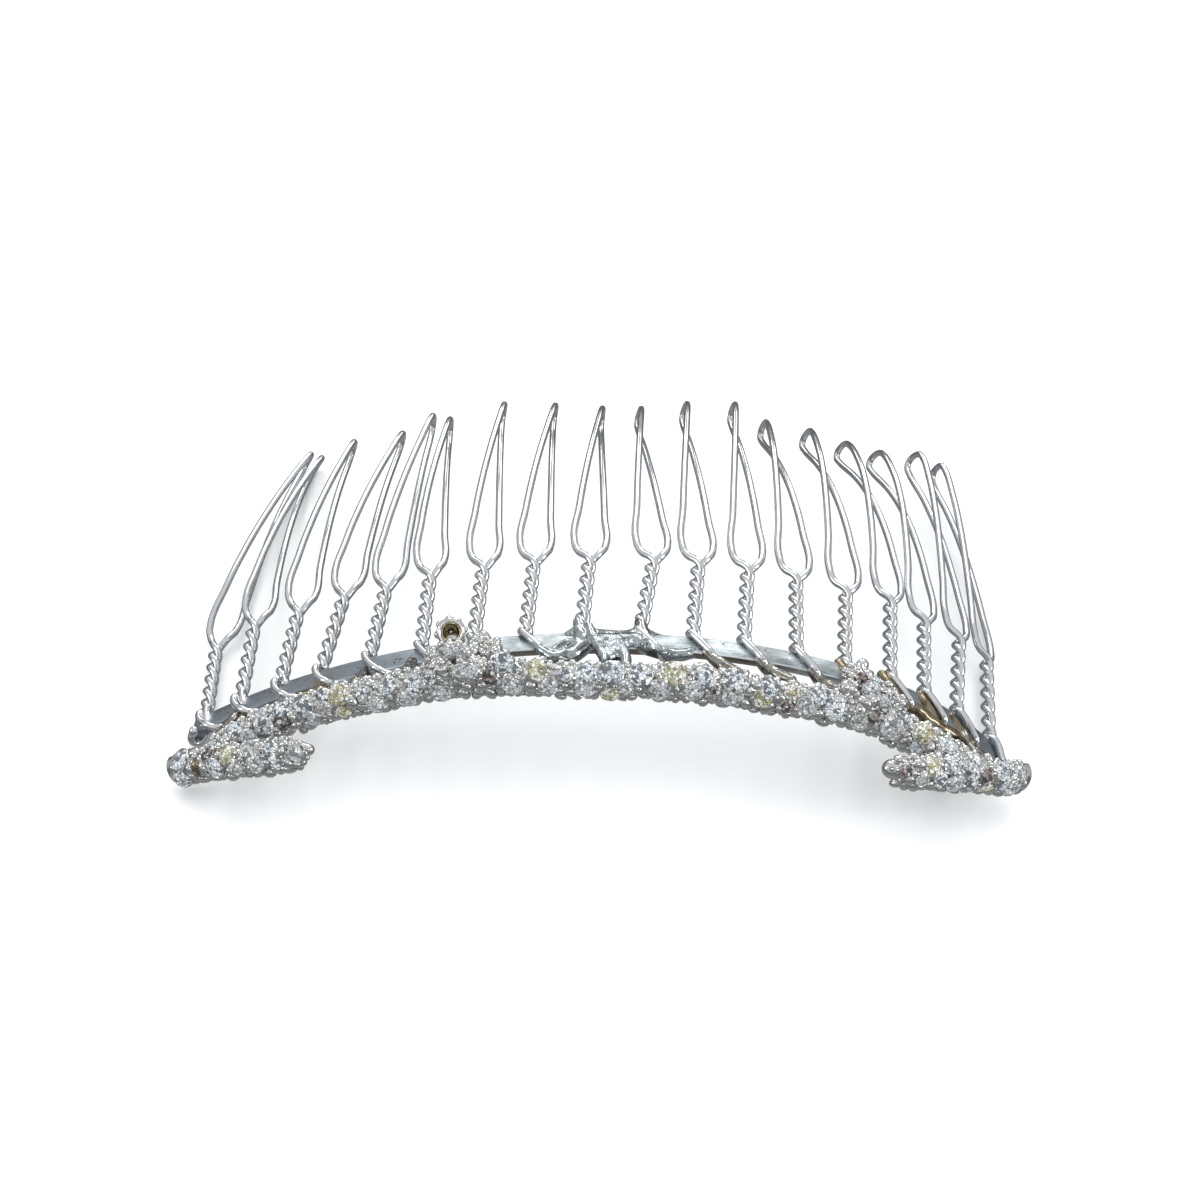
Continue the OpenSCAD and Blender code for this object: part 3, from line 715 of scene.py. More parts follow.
# The solders: tone, stains, and how much of the sparkling crust they have at the middle of the bar
SOLDERS = {
    "solder_silver": ((0.465, 0.5115, 0.526), (0.13, 0.12, 0.11), 1.0),
    "dark_solder": ((0.38, 0.36, 0.32), (0.15, 0.13, 0.11), 0.0),
    "brown_solder": ((0.29, 0.24, 0.16), (0.12, 0.09, 0.06), 0.0),
    "gold_solder": ((0.34, 0.29, 0.19), (0.15, 0.12, 0.07), 0.0),
}
CRUST = (0.5, 0.9, 0.6)
CRUST_RADIUS = 2.4


@once
def solder(name):
    """Solder that ran smooth, with stains, and with a crust of small bright bumps."""
    tone, stained, sparkle = SOLDERS[name]
    f = Finish(name, Metallic=1.0)
    fine = f.noise(0.3, detail=2.0)
    crust = sparkle * f.near(arch_point(*CRUST), CRUST_RADIUS)
    stain = f.step(f.noise(1.3, detail=4.0), 0.48, 0.66)
    tone = f.blend(crust, tone, toned(tone, 1.35))
    f.set(
        Base_Color=f.blend(stain, tone, stained),
        Roughness=0.12 + 0.22 * stain,
        Normal=f.bump(f.noise(0.9, detail=1.0) + (1.8 * crust + 0.06) * fine, 0.7, 0.16),
    )
    return f.material


@once
def paved_silver():
    c = colours()
    f = Finish("paved_silver", Metallic=1.0)
    deep = f.node("ShaderNodeAttribute", {"attribute_name": "deep"}, output="Fac")
    cloud = f.noise(1.6, detail=4.0)
    dirt = f.step(deep + 0.7 * cloud, 0.55, 1.0)
    rough = f.noise(0.3)
    tone = f.blend(f.step(cloud, 0.4, 0.65), toned(c.silver, 0.88), toned(c.silver, 0.6))
    f.set(
        Base_Color=f.blend(dirt, tone, c.grime),
        Roughness=0.18 + 0.12 * rough + 0.3 * dirt,
        Normal=f.bump(rough + 0.6 * f.noise(0.5, detail=2.0), 0.5, 0.06),
    )
    return f.material


@once
def gilt():
    c = colours()
    f = Finish("gilt", Metallic=1.0)
    wear = f.step(f.noise(0.5), 0.45, 0.7)
    # Painted shade: the bowl is painted near black round its hole
    middle = f.node("ShaderNodeAttribute", {"attribute_name": "deep"}, output="Fac")
    f.set(
        Base_Color=f.blend(middle, f.blend(wear, c.gilt, toned(c.gilt, 0.5)), (0.03, 0.025, 0.02)),
        Roughness=0.2 + 0.2 * wear,
        Normal=f.bump(f.noise(0.3), 0.3, 0.04),
    )
    return f.material


# The stones, their facets' reflections painted in their own tones: dark tone, bright tone, two tints,
# clearness, and the share of dark facets
STONE_LOOKS = {
    "clear_stone": ((0.16, 0.18, 0.20), (0.97, 0.98, 0.98), (0.72, 0.82, 0.90), (0.55, 0.58, 0.60),
                    0.3, 0.22),
    "milky_stone": ((0.26, 0.26, 0.26), (0.60, 0.62, 0.63), (0.52, 0.53, 0.57), (0.92, 0.93, 0.93),
                    0.25, 0.18),
    "yellow_stone": ((0.28, 0.27, 0.19), (0.74, 0.75, 0.64), (0.95, 0.96, 0.94), (0.54, 0.50, 0.28),
                     0.25, 0.18),
    "dark_stone": ((0.07, 0.06, 0.06), (0.36, 0.33, 0.31), (0.75, 0.75, 0.76), (0.28, 0.20, 0.18),
                   0.3, 0.35),
}
# The chart's letters
STONE_KINDS = {"c": "clear_stone", "l": "milky_stone", "y": "yellow_stone", "d": "dark_stone",
               "o": "milky_stone"}
# Painted mirrored facets a millimetre
FACET_SCALE = 3.6


@once
def cut_glitter(name):
    """A cut stone whose facets mirror one another inside, painted on as reflections: dark, bright and
    tinted patches, dark lines.
    """
    deep, bright, first_tint, second_tint, clearness, share = STONE_LOOKS[name]
    f = Finish(name, IOR=1.8, Transmission_Weight=clearness, Roughness=0.04)
    scale = {"Vector": f.place(), "Scale": FACET_SCALE}
    cells = f.node("ShaderNodeTexVoronoi", sockets=scale, output="Color")
    lines = f.node("ShaderNodeTexVoronoi", {"feature": "DISTANCE_TO_EDGE"}, scale, output="Distance")
    draws = [f.node("ShaderNodeSeparateColor", sockets={0: cells}, output=part)
             for part in ("Red", "Green", "Blue")]
    tint = f.blend(f.step(draws[1], 0.62, 0.66), bright, first_tint)
    tint = f.blend(f.step(draws[2], 0.70, 0.74), tint, second_tint)
    tone = f.blend(f.step(draws[0], share, share + 0.1), deep, tint)
    f.set(
        Base_Color=f.blend(f.step(lines, 0.01, 0.11), toned(deep, 0.35), tone),
        Normal=f.bump(draws[0] + draws[1], 0.5, 0.2),
    )
    return f.material


def finished(piece, material, node="soldered_heading"):
    """Dresses a finished piece, hangs it under the root body and hides the CAD node that it stands for."""
    piece.data.materials.clear()
    piece.data.materials.append(material)
    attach(piece, "root")
    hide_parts(node)


def shade_smooth(piece, angle=None):
    only(piece)
    if angle is None:
        bpy.ops.object.shade_smooth()
    else:
        bpy.ops.object.shade_smooth_by_angle(angle=math.radians(angle))


# The teeth

def foot(i):
    return (i - ROW_MIDDLE) * PITCH + TEETH[i][0]


def tooth_point(i, u, a, n):
    """A point of tooth i in its own straight frame: u to the right, a to the tip, n outwards."""
    angle = bar_angle(foot(i))
    return bar_point(foot(i), a, n) + u * Vector((math.cos(angle), 0, -math.sin(angle)))


def stem(i):
    return STEM_L + TEETH[i][2]


def loop_share(i, a):
    """How far height a is along the loop of tooth i, from 0 at the twist to 1 at the tip."""
    return clamp((a - FOOT_A - stem(i)) / (TOOTH_REACH - FOOT_A - stem(i)))


def lean(i, a):
    """The middle of a tooth's stem and loop at height a: to the right, outwards."""
    _, stem_lean, _, side, inwards, _ = TEETH[i]
    if a < FOOT_A + stem(i):
        return stem_lean * max(a - FOOT_A, 0) / stem(i), 0.0
    k = loop_share(i, a)
    return mix(stem_lean, side, k), -inwards * k ** lookup(i, LOOP_BEND)


def twist(i, side, wire):
    """One wire of the twist: side is 0 for the wire from the front and 180 for the one from behind."""
    reach = (wire + STRAND_GAP) / 2
    points = []
    for j in range(TWIST_STEPS + 1):
        k = j / TWIST_STEPS
        turn = math.radians(180 + side + 360 * STEM_TURNS * k)
        a = FOOT_A + stem(i) * k
        u, n = lean(i, a)
        points.append(tooth_point(i, u + reach * math.cos(turn), a, n + reach * math.sin(turn)))
    return points


def loop_point(i, a, across, width):
    """A point of the loop: across is -1 for the left wire and 1 for the right one."""
    u, n = lean(i, a)
    k = loop_share(i, a)
    turn = -math.radians(TEETH[i][5]) * k ** lookup(i, LOOP_LATE)
    reach = across * (width + lookup(i, LOOP_FLARE) * (1 - k) ** 2) / 2
    return tooth_point(i, u + reach * math.cos(turn), a, n + reach * math.sin(turn))


def loop_side(i, half, wire, width):
    """One side of the loop: half is 1 for the right wire and -1 for the left."""
    start, end = FOOT_A + stem(i), TOOTH_REACH - wire / 2 - width / 2
    height, right, out = PARTING
    u, n = lean(i, start + height)
    points = [
        tooth_point(i, u + half * right, start + height, n - half * out),
        loop_point(i, start + CORNER_H, half * CORNER_SHARE, width),
    ]
    for j in range(LOOP_STEPS + 1):
        points.append(loop_point(i, mix(start + SHOULDER_H, end, j / LOOP_STEPS), half, width))
    return points


def loop_tip(i, wire, width):
    """The round end of the loop, from the right wire over to the left one."""
    end = TOOTH_REACH - wire / 2 - width / 2
    points = []
    for j in range(1, TIP_STEPS):
        k = math.pi * j / TIP_STEPS
        points.append(loop_point(i, end + width / 2 * math.sin(k), math.cos(k), width))
    return points


def slanted(i):
    """The rightward way of tooth i's wire over the bar, point by point."""
    slant = lookup(i, WRAP_SLANT)
    return [mix(a, b, slant) for a, b in zip(WRAP_STEEP, WRAP_SLANTED)]


def wraps(i, wire):
    """The wire in front of the bar and the wire behind it, each as rows of (right, height, out)."""
    width, thick = sizes().bar_width / MM, sizes().bar_thickness / MM
    out = thick / 2 + STRAND_GAP + wire / 2
    over = width / 2 + STRAND_GAP + wire / 2
    face = (-over * CORNER_FACE[0], out * CORNER_FACE[1])
    edge = (-over * CORNER_EDGE[0], out * CORNER_EDGE[1])
    heel, share = FOOT_A - FOOT_DROP, FOOT_SHARE * out
    ways = WRAP_LAST if i == len(TEETH) - 1 else slanted(i)
    round_bar = [
        (heel, share), (0.7, out), (-0.55, out), face, edge, (-over, 0), (edge[0], -edge[1]),
        (face[0], -face[1]), (-0.4 * width, -out)]
    front = [(u, a, n) for u, (a, n) in zip(ways, round_bar)]
    if i == 0:
        back = [
            (-0.4, *face), (-0.8, *edge), (-0.95, -over, 0), (-0.85, edge[0], -edge[1]),
            (-0.75, face[0], -face[1]), (-0.4, 0.7, -out), (0.0, heel, -share)]
    else:
        far = foot(i - 1) + slanted(i - 1)[-1] + STRAND_GAP - foot(i)
        back = [
            (far, -0.3 * width, -out), (0.45 * far, 0.7, -out), (-0.05 * far, heel, -share)]
    return front, back


def tooth_route(i):
    """The whole way of the wire through tooth i."""
    wire, width = sizes().wire / MM, sizes().loop / MM
    front, back = wraps(i, wire)
    return (
        [bar_point(foot(i) + u, a, n) for u, a, n in back]
        + twist(i, 180, wire) + loop_side(i, 1, wire, width) + loop_tip(i, wire, width)
        + loop_side(i, -1, wire, width)[::-1] + twist(i, 0, wire)[::-1]
        + [bar_point(foot(i) + u, a, n) for u, a, n in front]
    )


def wire_along(name, points, diameter, round_steps=4):
    """A round wire through points of the comb, as a mesh."""
    deselect()
    curve = bpy.data.curves.new(name, "CURVE")
    curve.dimensions = "3D"
    curve.resolution_u = 5
    curve.bevel_depth = diameter / 2
    curve.bevel_resolution = round_steps
    curve.use_fill_caps = True
    spline = curve.splines.new("BEZIER")
    spline.bezier_points.add(len(points) - 1)
    for bezier, point in zip(spline.bezier_points, points):
        bezier.co = rested(point)
        bezier.handle_left_type = bezier.handle_right_type = "AUTO"
    piece = bpy.data.objects.new(name, curve)
    bpy.context.scene.collection.objects.link(piece)
    only(piece)
    bpy.ops.object.convert(target="MESH")
    return named(name)


class COMB_OT_teeth(bpy.types.Operator):
    """Winds the eighteen twisted teeth, each from one wire"""
    bl_idname = "comb.teeth"
    bl_label = "Wire Teeth"

    def execute(self, context):
        for i in range(len(TEETH)):
            node = f"tooth_{i + 1:02d}"
            piece = wire_along(node + "_wire", tooth_route(i), sizes().wire)
            finished(piece, silver_wire(), node)
        return {"FINISHED"}


# The bar

BAR_ROUNDING = 0.13
BAR_CUTS = 150


class COMB_OT_bar(bpy.types.Operator):
    """Draws the flat bar with softened edges and bends it to the arch"""
    bl_idname = "comb.bar"
    bl_label = "Flat Bar"

    def execute(self, context):
        length = BAR_LEFT + BAR_RIGHT
        deselect()
        bpy.ops.mesh.primitive_cube_add(size=1)
        piece = named("flat_bar")
        edit_all()
        bpy.ops.transform.resize(value=(length, sizes().bar_width / MM, sizes().bar_thickness / MM),
                                 center_override=(0, 0, 0))
        bpy.ops.transform.translate(value=((BAR_RIGHT - BAR_LEFT) / 2, 0, 0))
        leave_edit()

        def lengthwise(edge):
            return abs(edge_way(piece.data, edge).x) > 0.9 * length
        pick(piece, "EDGE", lengthwise)
        bpy.ops.mesh.bevel(offset=BAR_ROUNDING, segments=2)
        leave_edit()
        pick(piece, "EDGE", lengthwise)
        bpy.ops.mesh.subdivide(number_cuts=BAR_CUTS)
        leave_edit()
        bend(piece, lambda p: bar_point(p.x, p.y, p.z))
        shade_smooth(piece, 40)
        finished(piece, bar_silver())
        return {"FINISHED"}


# The heading's shells

# The shells are cut open towards the bar: way of the cut in degrees, and its depth as a share of the radius
BACK_SIDE = 200
BACK_DEPTH = 0.087
SHELL_SIDES = 32
# Cuts a millimetre along a shell, and the length over which its ends are drawn in
SHELL_CUTS = 2.5
TAPER = 1.8
# Each shell's centre line, and what it keeps of its width at its first and last end
SHELLS = {
    "band_shell": (BAND, 0.7, 0.7),
    "left_strip_shell": (LEFT_STRIP, 0.95, 0.25),
    "right_strip_shell": (RIGHT_STRIP, 0.45, 1.0),
}


def drawn_in(line, s, first, last):
    """How much of its width a band keeps at an arc length, less near its ends."""
    start, end = line[0][0], line[-1][0]
    inside = clamp(min(s - start, end - s) / TAPER)
    return mix(first if s < (start + end) / 2 else last, 1, math.sin(inside * math.pi / 2))


def shell(name, rows, first, last):
    """A rounded shell, hollow behind, along a centre line and drawn in at its ends."""
    radius, wall = sizes().shell / MM, sizes().shell_wall / MM
    line = smooth_line(rows)
    start, end = line[0][0], line[-1][0]
    deselect()
    bpy.ops.mesh.primitive_cylinder_add(
        vertices=SHELL_SIDES, radius=radius, depth=end - start, end_fill_type="NOTHING",
        location=((start + end) / 2, 0, 0), rotation=(0, math.pi / 2, 0))
    keep_place()
    piece = named(name)
    away = Vector((0, math.cos(math.radians(BACK_SIDE)), math.sin(math.radians(BACK_SIDE))))
    cut_off(away, BACK_DEPTH * radius)
    leave_edit()
    pick(piece, "EDGE", lambda e: abs(edge_way(piece.data, e).x) > 0.9 * (end - start))
    bpy.ops.mesh.subdivide(number_cuts=int((end - start) * SHELL_CUTS))
    leave_edit()
    modified(piece, "SOLIDIFY", thickness=wall, offset=-1)
    mark_depth(piece, lambda co: clamp(min(co.x - start, end - co.x) * 0.9))

    def rule(p):
        k = drawn_in(line, p.x, first, last)
        return band_point(line, p.x, p.y * k, p.z * k)
    bend(piece, rule)
    shade_smooth(piece, 50)
    return piece


def mark_depth(piece, depth_of):
    """Stores how deep each vertex lies among the stones, as an attribute for the grime, and in the gilt
    bowl for the painted shade round its hole.
    """
    marks = piece.data.attributes.new("deep", "FLOAT", "POINT")
    for vertex, mark in zip(piece.data.vertices, marks.data):
        mark.value = depth_of(vertex.co)


class COMB_OT_shells(bpy.types.Operator):
    """Raises the band and the two end strips as rounded shells, hollow behind"""
    bl_idname = "comb.shells"
    bl_label = "Hollow Shells"

    def execute(self, context):
        for name, (rows, first, last) in SHELLS.items():
            finished(shell(name, rows, first, last), paved_silver())
        for name, rows in STRIP_ENDS.items():
            piece = melted(name, strung(rows), 6, 0)
            mark_depth(piece, lambda co: 0.45)
            finished(piece, paved_silver())
        return {"FINISHED"}


# The stones, their seats and the grains

# The cuts of a stone of radius 1: tilt, distance from the middle, how many, turn of the first
STONE_CUTS = [(0, 0.38, 1, 0), (34, 0.589, 8, 0), (27, 0.547, 8, 22.5), (148, 0.57, 8, 0)]
# A seat's rings: radius and height, for a stone of radius 1
SEAT_RINGS = [(0.25, -0.5), (0.9, -0.12), (1.0, 0.03), (1.08, 0.08), (1.17, 0.0), (1.12, -0.65)]
# How much wider a stone is than its charted radius, how wide an oval one is across, how far stones tip
STONE_SPREAD = 1.1
OVAL_ACROSS = 0.68
STONE_TIP = 0.12
# A grain's size and its three stretches are drawn between these shares, and its room is a share of its size
GRAIN_SIZES = (0.6, 1.25)
GRAIN_STRETCHES = ((0.9, 1.6), (0.8, 1.1), (0.6, 1.0))
GRAIN_ROOM = 0.8
GRAIN_TIP = 0.3
# The spots tried for grains: steps along a band, degrees round it, distances from its centre line
GRAIN_STEPS = 150
GRAIN_ANGLES = range(-62, 117, 6)
GRAIN_REACH = (1.26, 1.42)


def cut_stone():
    """A round stone of radius 1 cut by planes: table, crown, stars and a shallow pavilion."""
    deselect()
    bpy.ops.mesh.primitive_cylinder_add(vertices=16, radius=1, depth=1.2)
    piece = named("stone_pattern")
    for tilt, reach, count, start in STONE_CUTS:
        for i in range(count):
            around = math.radians(start + 360 * i / count)
            t = math.radians(tilt)
            way = Vector((math.cos(around) * math.sin(t), math.sin(around) * math.sin(t), math.cos(t)))
            cut_off(way, reach, fill=True)
    leave_edit()
    tidy_normals(piece)
    return piece


def grain_ball():
    """A small round grain on a short stem."""
    deselect()
    bpy.ops.mesh.primitive_uv_sphere_add(segments=8, ring_count=6, radius=1)
    piece = named("grain_pattern")
    pick(piece, "VERT", lambda v: v.co.z < -0.6)
    bpy.ops.transform.translate(value=(0, 0, -0.7))
    leave_edit()
    shade_smooth(piece)
    mark_depth(piece, lambda co: clamp(0.6 - 0.75 * co.z))
    return piece


def charted_stones():
    """Every stone as (point, way out, way along, radius, kind)."""
    reach = sizes().girdle / MM
    stones = []
    for (rows, first, last), chart in zip(SHELLS.values(), (BAND_STONES, LEFT_STONES, RIGHT_STONES)):
        line = smooth_line(rows)
        for s, angle, radius, kind in chart:
            place = band_place(line, s, angle, reach * drawn_in(line, s, first, last))
            stones.append((*place, radius, kind))
    for s, f, n, back, right, radius, kind in CLUSTER_STONES:
        up = math.radians(90 - back)
        out = Vector((math.sin(math.radians(right) + s / ARCH_R), -math.cos(up), math.sin(up)))
        stones.append((arch_point(s, f, n), out, Vector((1, 0, 0)), radius, kind))
    return stones


def stone_rooms():
    return [(point, radius) for point, _, _, radius, _ in charted_stones()]


def tipped_off(out, most, draw):
    """A direction, tipped a little at random."""
    return Vector(out).normalized() + Vector([draw.uniform(-most, most) for _ in range(3)])


class COMB_OT_stones(bpy.types.Operator):
    """Cuts the stones and sets each in its own seat"""
    bl_idname = "comb.stones"
    bl_label = "Stones and Seats"

    def execute(self, context):
        draw = random.Random(7)
        stone = cut_stone()
        seat = turned("seat_pattern", SEAT_RINGS, 12)
        shade_smooth(seat, 50)
        mark_depth(seat, lambda co: clamp(0.15 - 1.6 * co.z))
        cut = {kind: [] for kind in STONE_KINDS}
        seats = []
        for point, out, along, radius, kind in charted_stones():
            tipped = tipped_off(out, STONE_TIP, draw)
            oval = kind == "o"
            across = OVAL_ACROSS if oval else STONE_SPREAD
            size = (STONE_SPREAD * radius, across * radius, radius)
            turn = 0 if oval else draw.uniform(0, math.pi)
            cut[kind].append(copied(stone, frame_at(point, tipped, along, turn, size)))
            room = (radius, size[1] / STONE_SPREAD, radius)
            seats.append(copied(seat, frame_at(point, out, along, 0, room)))
        scrap(stone, seat)
        for kind, pieces in cut.items():
            name = STONE_KINDS[kind]
            finished(joined(name + ("_ovals" if kind == "o" else "s"), pieces), cut_glitter(name))
        finished(joined("stone_seats", seats), paved_silver())
        return {"FINISHED"}


def crowd(grain, spots, taken, draw):
    """Copies of a grain, each squashed its own way, set on the spots that are still free."""
    base = sizes().grain / MM
    pieces = []
    for point, out in spots:
        radius = base * draw.uniform(*GRAIN_SIZES)
        if all((point - q).length > GRAIN_ROOM * (radius + r) for q, r in taken):
            taken.append((point, 0.9 * radius))
            size = [radius * draw.uniform(least, most) for least, most in GRAIN_STRETCHES]
            tipped = tipped_off(out, GRAIN_TIP, draw)
            pieces.append(copied(grain, frame_at(point, tipped, (1, 0, 0), draw.uniform(0, 6), size)))
    return pieces


class COMB_OT_grains(bpy.types.Operator):
    """Fills the gaps between the stones with small round grains"""
    bl_idname = "comb.grains"
    bl_label = "Grains"

    def execute(self, context):
        draw = random.Random(11)
        grain = grain_ball()
        taken = stone_rooms() + strung(GROOVE)
        pieces = []
        for rows, first, last in SHELLS.values():
            line = smooth_line(rows)
            start, end = line[0][0] + first, line[-1][0] - last
            spots = []
            for i in range(GRAIN_STEPS + 1):
                s = mix(start, end, i / GRAIN_STEPS)
                for angle in GRAIN_ANGLES:
                    reach = draw.uniform(*GRAIN_REACH) * drawn_in(line, s, first, last)
                    point, out, _ = band_place(line, s, angle, reach)
                    spots.append((point, out))
            draw.shuffle(spots)
            pieces += crowd(grain, spots, taken, draw)
        scrap(grain)
        finished(joined("grains", pieces), paved_silver())
        return {"FINISHED"}


# Clusters, cup and solder

VOXEL = 0.1
# Rings of the cup and of the bowl inside it: radius and height
CUP_RINGS = [(0.8, -1.1), (1.06, 0.0), (1.2, 0.36), (1.16, 0.6), (0.98, 0.72), (0.84, 0.66), (0.76, 0.5),
             (0.72, -0.2), (0.3, -0.3)]
BOWL_RINGS = [(0.16, -0.45), (0.16, -0.12), (0.3, -0.06), (0.55, 0.12), (0.7, 0.46), (0.78, 0.46),
              (0.76, -0.3)]
CUP_SIDES = 28
CUP_BEADS = 8
BEAD_RADIUS = 0.3
BEAD_CIRCLE = 1.1
BEAD_HEIGHT = 0.2
# A neck of solder runs from the bar, at a height and a way out, to behind the band's line and out from it
NECK_START = (-0.5, 0)
NECK_END = (-0.6, 0.85)
NECK_RADIUS = 0.42
NECK_FLARE = 0.15
NECK_BALLS = 13


def melted(name, balls, smooth=10, swell=0.1):
    """Balls of (point, radius) in mm run together into one body, swollen by what the smoothing takes."""
    pieces = []
    for point, radius in balls:
        deselect()
        bpy.ops.mesh.primitive_ico_sphere_add(subdivisions=3, radius=radius + swell, location=point)
        keep_place()
        pieces.append(bpy.context.object)
    piece = joined(name, pieces)
    modified(piece, "REMESH", mode="VOXEL", voxel_size=VOXEL)
    modified(piece, "SMOOTH", factor=0.5, iterations=smooth)
    modified(piece, "SUBSURF", levels=1)
    bend(piece, lambda p: p)
    shade_smooth(piece)
    return piece


def strung(rows, point_of=arch_point, between=6):
    """Balls along a chart of rows, with smaller steps between the rows."""
    balls = []
    for a, b in zip(rows, rows[1:]):
        for j in range(between):
            row = [mix(p, q, j / between) for p, q in zip(a, b)]
            balls.append((point_of(*row[:3]), row[3]))
    last = rows[-1]
    return balls + [(point_of(*last[:3]), last[3])]


class COMB_OT_clusters(bpy.types.Operator):
    """Heaps up the two clusters and covers them with grains"""
    bl_idname = "comb.clusters"
    bl_label = "Clusters"

    def execute(self, context):
        draw = random.Random(3)
        taken = stone_rooms() + [(arch_point(*CUP), CUP_ROOM)]
        grain = grain_ball()
        pieces = []
        to_comb = REST.inverted()
        for name, rows in (("left_cluster", LEFT_CLUSTER), ("right_cluster", RIGHT_CLUSTER)):
            body = melted(name, [(arch_point(s, f, n), 0.92 * radius) for s, f, n, radius in rows], 4, 0)
            mark_depth(body, lambda co: 1.0)
            finished(body, paved_silver())
            spots = [((to_comb @ v.co) / MM, v.normal.copy()) for v in body.data.vertices
                     if v.normal.z > -0.3]
            draw.shuffle(spots)
            pieces += crowd(grain, spots, taken, draw)
        scrap(grain)
        finished(joined("cluster_grains", pieces), paved_silver())
        balls = [(arch_point(s, f, n), radius) for s, f, n, radius in BALL_TIP]
        finished(melted("ball_tip", balls, 2, 0), silver_wire())
        return {"FINISHED"}


class COMB_OT_cup(bpy.types.Operator):
    """Makes the cup that has lost its stone, with a beaded rim and a gilt seat"""
    bl_idname = "comb.cup"
    bl_label = "Empty Cup"

    def execute(self, context):
        up = math.radians(90 - CUP_FACE)
        out = Vector((0, -math.cos(up), math.sin(up)))
        place = frame_at(arch_point(*CUP), out, (1, 0, 0))
        cup = turned("cup_pattern", CUP_RINGS, CUP_SIDES)
        mark_depth(cup, lambda co: clamp(0.45 - 0.9 * co.z))
        bead = grain_ball()
        pieces = [copied(cup, place)]
        for i in range(CUP_BEADS):
            around = math.tau * (i + 0.3) / CUP_BEADS
            x, y = BEAD_CIRCLE * math.cos(around), BEAD_CIRCLE * math.sin(around)
            spot = place @ Matrix.Translation((x, y, BEAD_HEIGHT))
            pieces.append(copied(bead, spot @ Matrix.Scale(BEAD_RADIUS + 0.06 * math.sin(5 * i), 4)))
        rim = joined("stone_cup", pieces)
        shade_smooth(rim, 60)
        finished(rim, paved_silver())
        bowl = turned("bowl_pattern", BOWL_RINGS, CUP_SIDES)
        # This mark drives the painted shade of the bowl, darkest round its hole
        mark_depth(bowl, lambda co: clamp(2.6 - 5 * co.xy.length))
        seat = joined("gilt_seat", [copied(bowl, place)])
        shade_smooth(seat, 50)
        finished(seat, gilt())
        scrap(cup, bead, bowl)
        return {"FINISHED"}


class COMB_OT_solder(bpy.types.Operator):
    """Runs solder over the middle of the bar and from the bar into the band"""
    bl_idname = "comb.solder"
    bl_label = "Solder"

    def execute(self, context):
        middle = [ball for rows in MIDDLE_SOLDER for ball in strung(rows)]
        finished(melted("middle_solder", middle), solder("solder_silver"))
        finished(melted("gilded_groove", strung(GROOVE)), solder("gold_solder"))
        for number, rows in enumerate(WEDGES, 1):
            finished(melted(f"solder_wedge_{number}", strung(rows)), solder("dark_solder"))
        for name, charts, material in (
                ("gilded_solder", GOLD_FILLETS, solder("gold_solder")),
                ("brown_solder", BROWN_FILLETS, solder("brown_solder")),
                ("foot_solder", FOOT_FILLETS, silver_wire()),
                ("wire_ball", [WIRE_BALL], silver_wire())):
            for number, rows in enumerate(charts, 1):
                finished(melted(f"{name}_{number}", strung(rows, bar_point)), material)
        line = smooth_line(BAND)
        behind, out = NECK_END
        for number, s in enumerate(BRIDGES, 1):
            start, end = bar_point(s, *NECK_START), arch_point(s, lookup(s, line) + behind, out)
            balls = []
            for j in range(NECK_BALLS):
                k = j / (NECK_BALLS - 1)
                balls.append((start.lerp(end, k), NECK_RADIUS + NECK_FLARE * abs(k - 0.5)))
            finished(melted(f"solder_neck_{number}", balls), solder("dark_solder"))
        return {"FINISHED"}


# The stage

def soft_light(name, place, size, power, mirrored):
    """A rectangular soft light that faces the comb and that the camera doesn't see."""
    data = bpy.data.lights.new(name, "AREA")
    data.shape = "RECTANGLE"
    data.size, data.size_y = size
    data.energy = power
    lamp = bpy.data.objects.new(name, data)
    lamp.location = place
    lamp.rotation_euler = (Vector() - Vector(place)).to_track_quat("-Z", "Y").to_euler()
    lamp.visible_camera = False
    lamp.visible_glossy = mirrored
    bpy.context.scene.collection.objects.link(lamp)


def studio_air():
    """Soft light from all round: greyer at the horizon and below, and dark on the camera's side."""
    world = bpy.data.worlds.new("studio_air")
    bpy.context.scene.world = world
    air = Nodes(world)
    way = air.node("ShaderNodeTexCoord", output="Generated")
    height = air.node("ShaderNodeSeparateXYZ", sockets={0: way}, output="Z")
    share = air.node("ShaderNodeMapRange", sockets={"Value": height, "From Min": -1, "From Max": 1})
    tone = air.node("ShaderNodeValToRGB", sockets={0: share})
    elements = tone.socket.node.color_ramp.elements
    while len(elements) < len(AIR):
        elements.new(0.5)
    for element, (at, level) in zip(elements, AIR):
        element.position = at
        element.color = (*toned(AIR_TINT, level), 1)
    facing = air.node("ShaderNodeVectorMath", {"operation": "DOT_PRODUCT"}, {
        0: way, 1: (REST.to_3x3() @ Vector(VIEW_FROM)).normalized()}, output="Value")
    dark = air.node("ShaderNodeMapRange", {"interpolation_type": "SMOOTHSTEP"}, {
        "Value": facing, **DARK_SIDE})
    background = air.tree.nodes["Background"]
    air.feed(background.inputs["Color"], tone)
    air.feed(background.inputs["Strength"], dark)


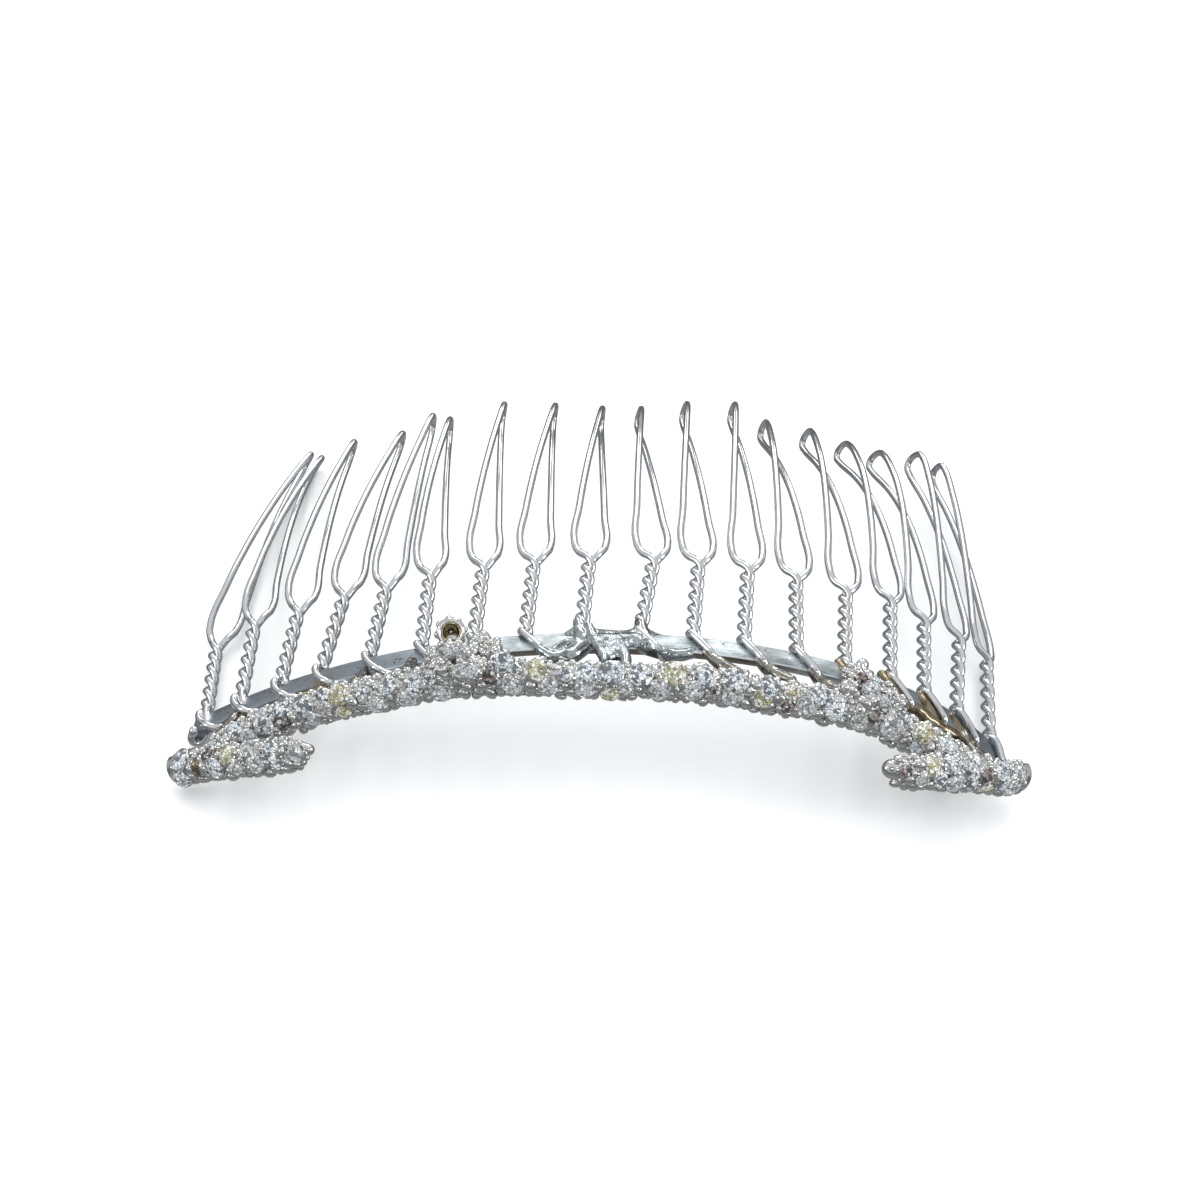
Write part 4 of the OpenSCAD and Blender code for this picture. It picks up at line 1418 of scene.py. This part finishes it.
class COMB_OT_stage(bpy.types.Operator):
    """Lays the pale floor and sets up the soft lights and the camera"""
    bl_idname = "comb.stage"
    bl_label = "Floor, Lights and Camera"

    def execute(self, context):
        scene = context.scene
        stage = scene.comb_stage
        deselect()
        bpy.ops.mesh.primitive_plane_add(size=stage.floor)
        floor = named("floor")
        f = Finish("pale_floor", Roughness=0.9, Specular_IOR_Level=0.0)
        f.set(Base_Color=f.blend(f.noise(40), (0.93, 0.93, 0.93), (0.95, 0.95, 0.95)))
        floor.data.materials.append(f.material)
        floor.visible_glossy = False

        for row in LIGHTS:
            soft_light(*row)
        studio_air()

        camera = bpy.data.cameras.new("camera")
        camera.lens = stage.lens
        camera.sensor_width = 36
        camera.clip_start = 0.01
        eye = bpy.data.objects.new("camera", camera)
        turn = Euler([math.radians(k) for k in VIEW_TURN]).to_matrix().to_4x4()
        eye.matrix_world = REST @ Matrix.Translation(Vector(VIEW_FROM) * MM) @ turn
        scene.collection.objects.link(eye)
        scene.camera = eye
        scene.view_settings.view_transform = "Standard"
        return {"FINISHED"}


class COMB_PT_panel(bpy.types.Panel):
    bl_idname = "COMB_PT_panel"
    bl_label = "Mantilla Comb"
    bl_space_type = "VIEW_3D"
    bl_region_type = "UI"
    bl_category = "Comb"

    def draw(self, context):
        for group in (context.scene.comb_sizes, context.scene.comb_colours, context.scene.comb_stage):
            for name in group.bl_rna.properties.keys():
                if name not in ("rna_type", "name"):
                    self.layout.prop(group, name)
        for step in STEPS:
            self.layout.operator(step.bl_idname)


STEPS = [COMB_OT_stage, COMB_OT_teeth, COMB_OT_bar, COMB_OT_shells, COMB_OT_stones, COMB_OT_grains,
         COMB_OT_clusters, COMB_OT_cup, COMB_OT_solder]
GROUPS = {"comb_sizes": CombSizes, "comb_colours": CombColours, "comb_stage": CombStage}


def register():
    for group in GROUPS.values():
        bpy.utils.register_class(group)
    for name, group in GROUPS.items():
        setattr(bpy.types.Scene, name, bpy.props.PointerProperty(type=group))
    for step in STEPS:
        bpy.utils.register_class(step)
    bpy.utils.register_class(COMB_PT_panel)


def unregister():
    bpy.utils.unregister_class(COMB_PT_panel)
    for step in reversed(STEPS):
        bpy.utils.unregister_class(step)
    for name, group in GROUPS.items():
        delattr(bpy.types.Scene, name)
        bpy.utils.unregister_class(group)


def main():
    register()
    for step in STEPS:
        group, name = step.bl_idname.split(".")
        getattr(getattr(bpy.ops, group), name)()


if __name__ == "__main__":
    main()
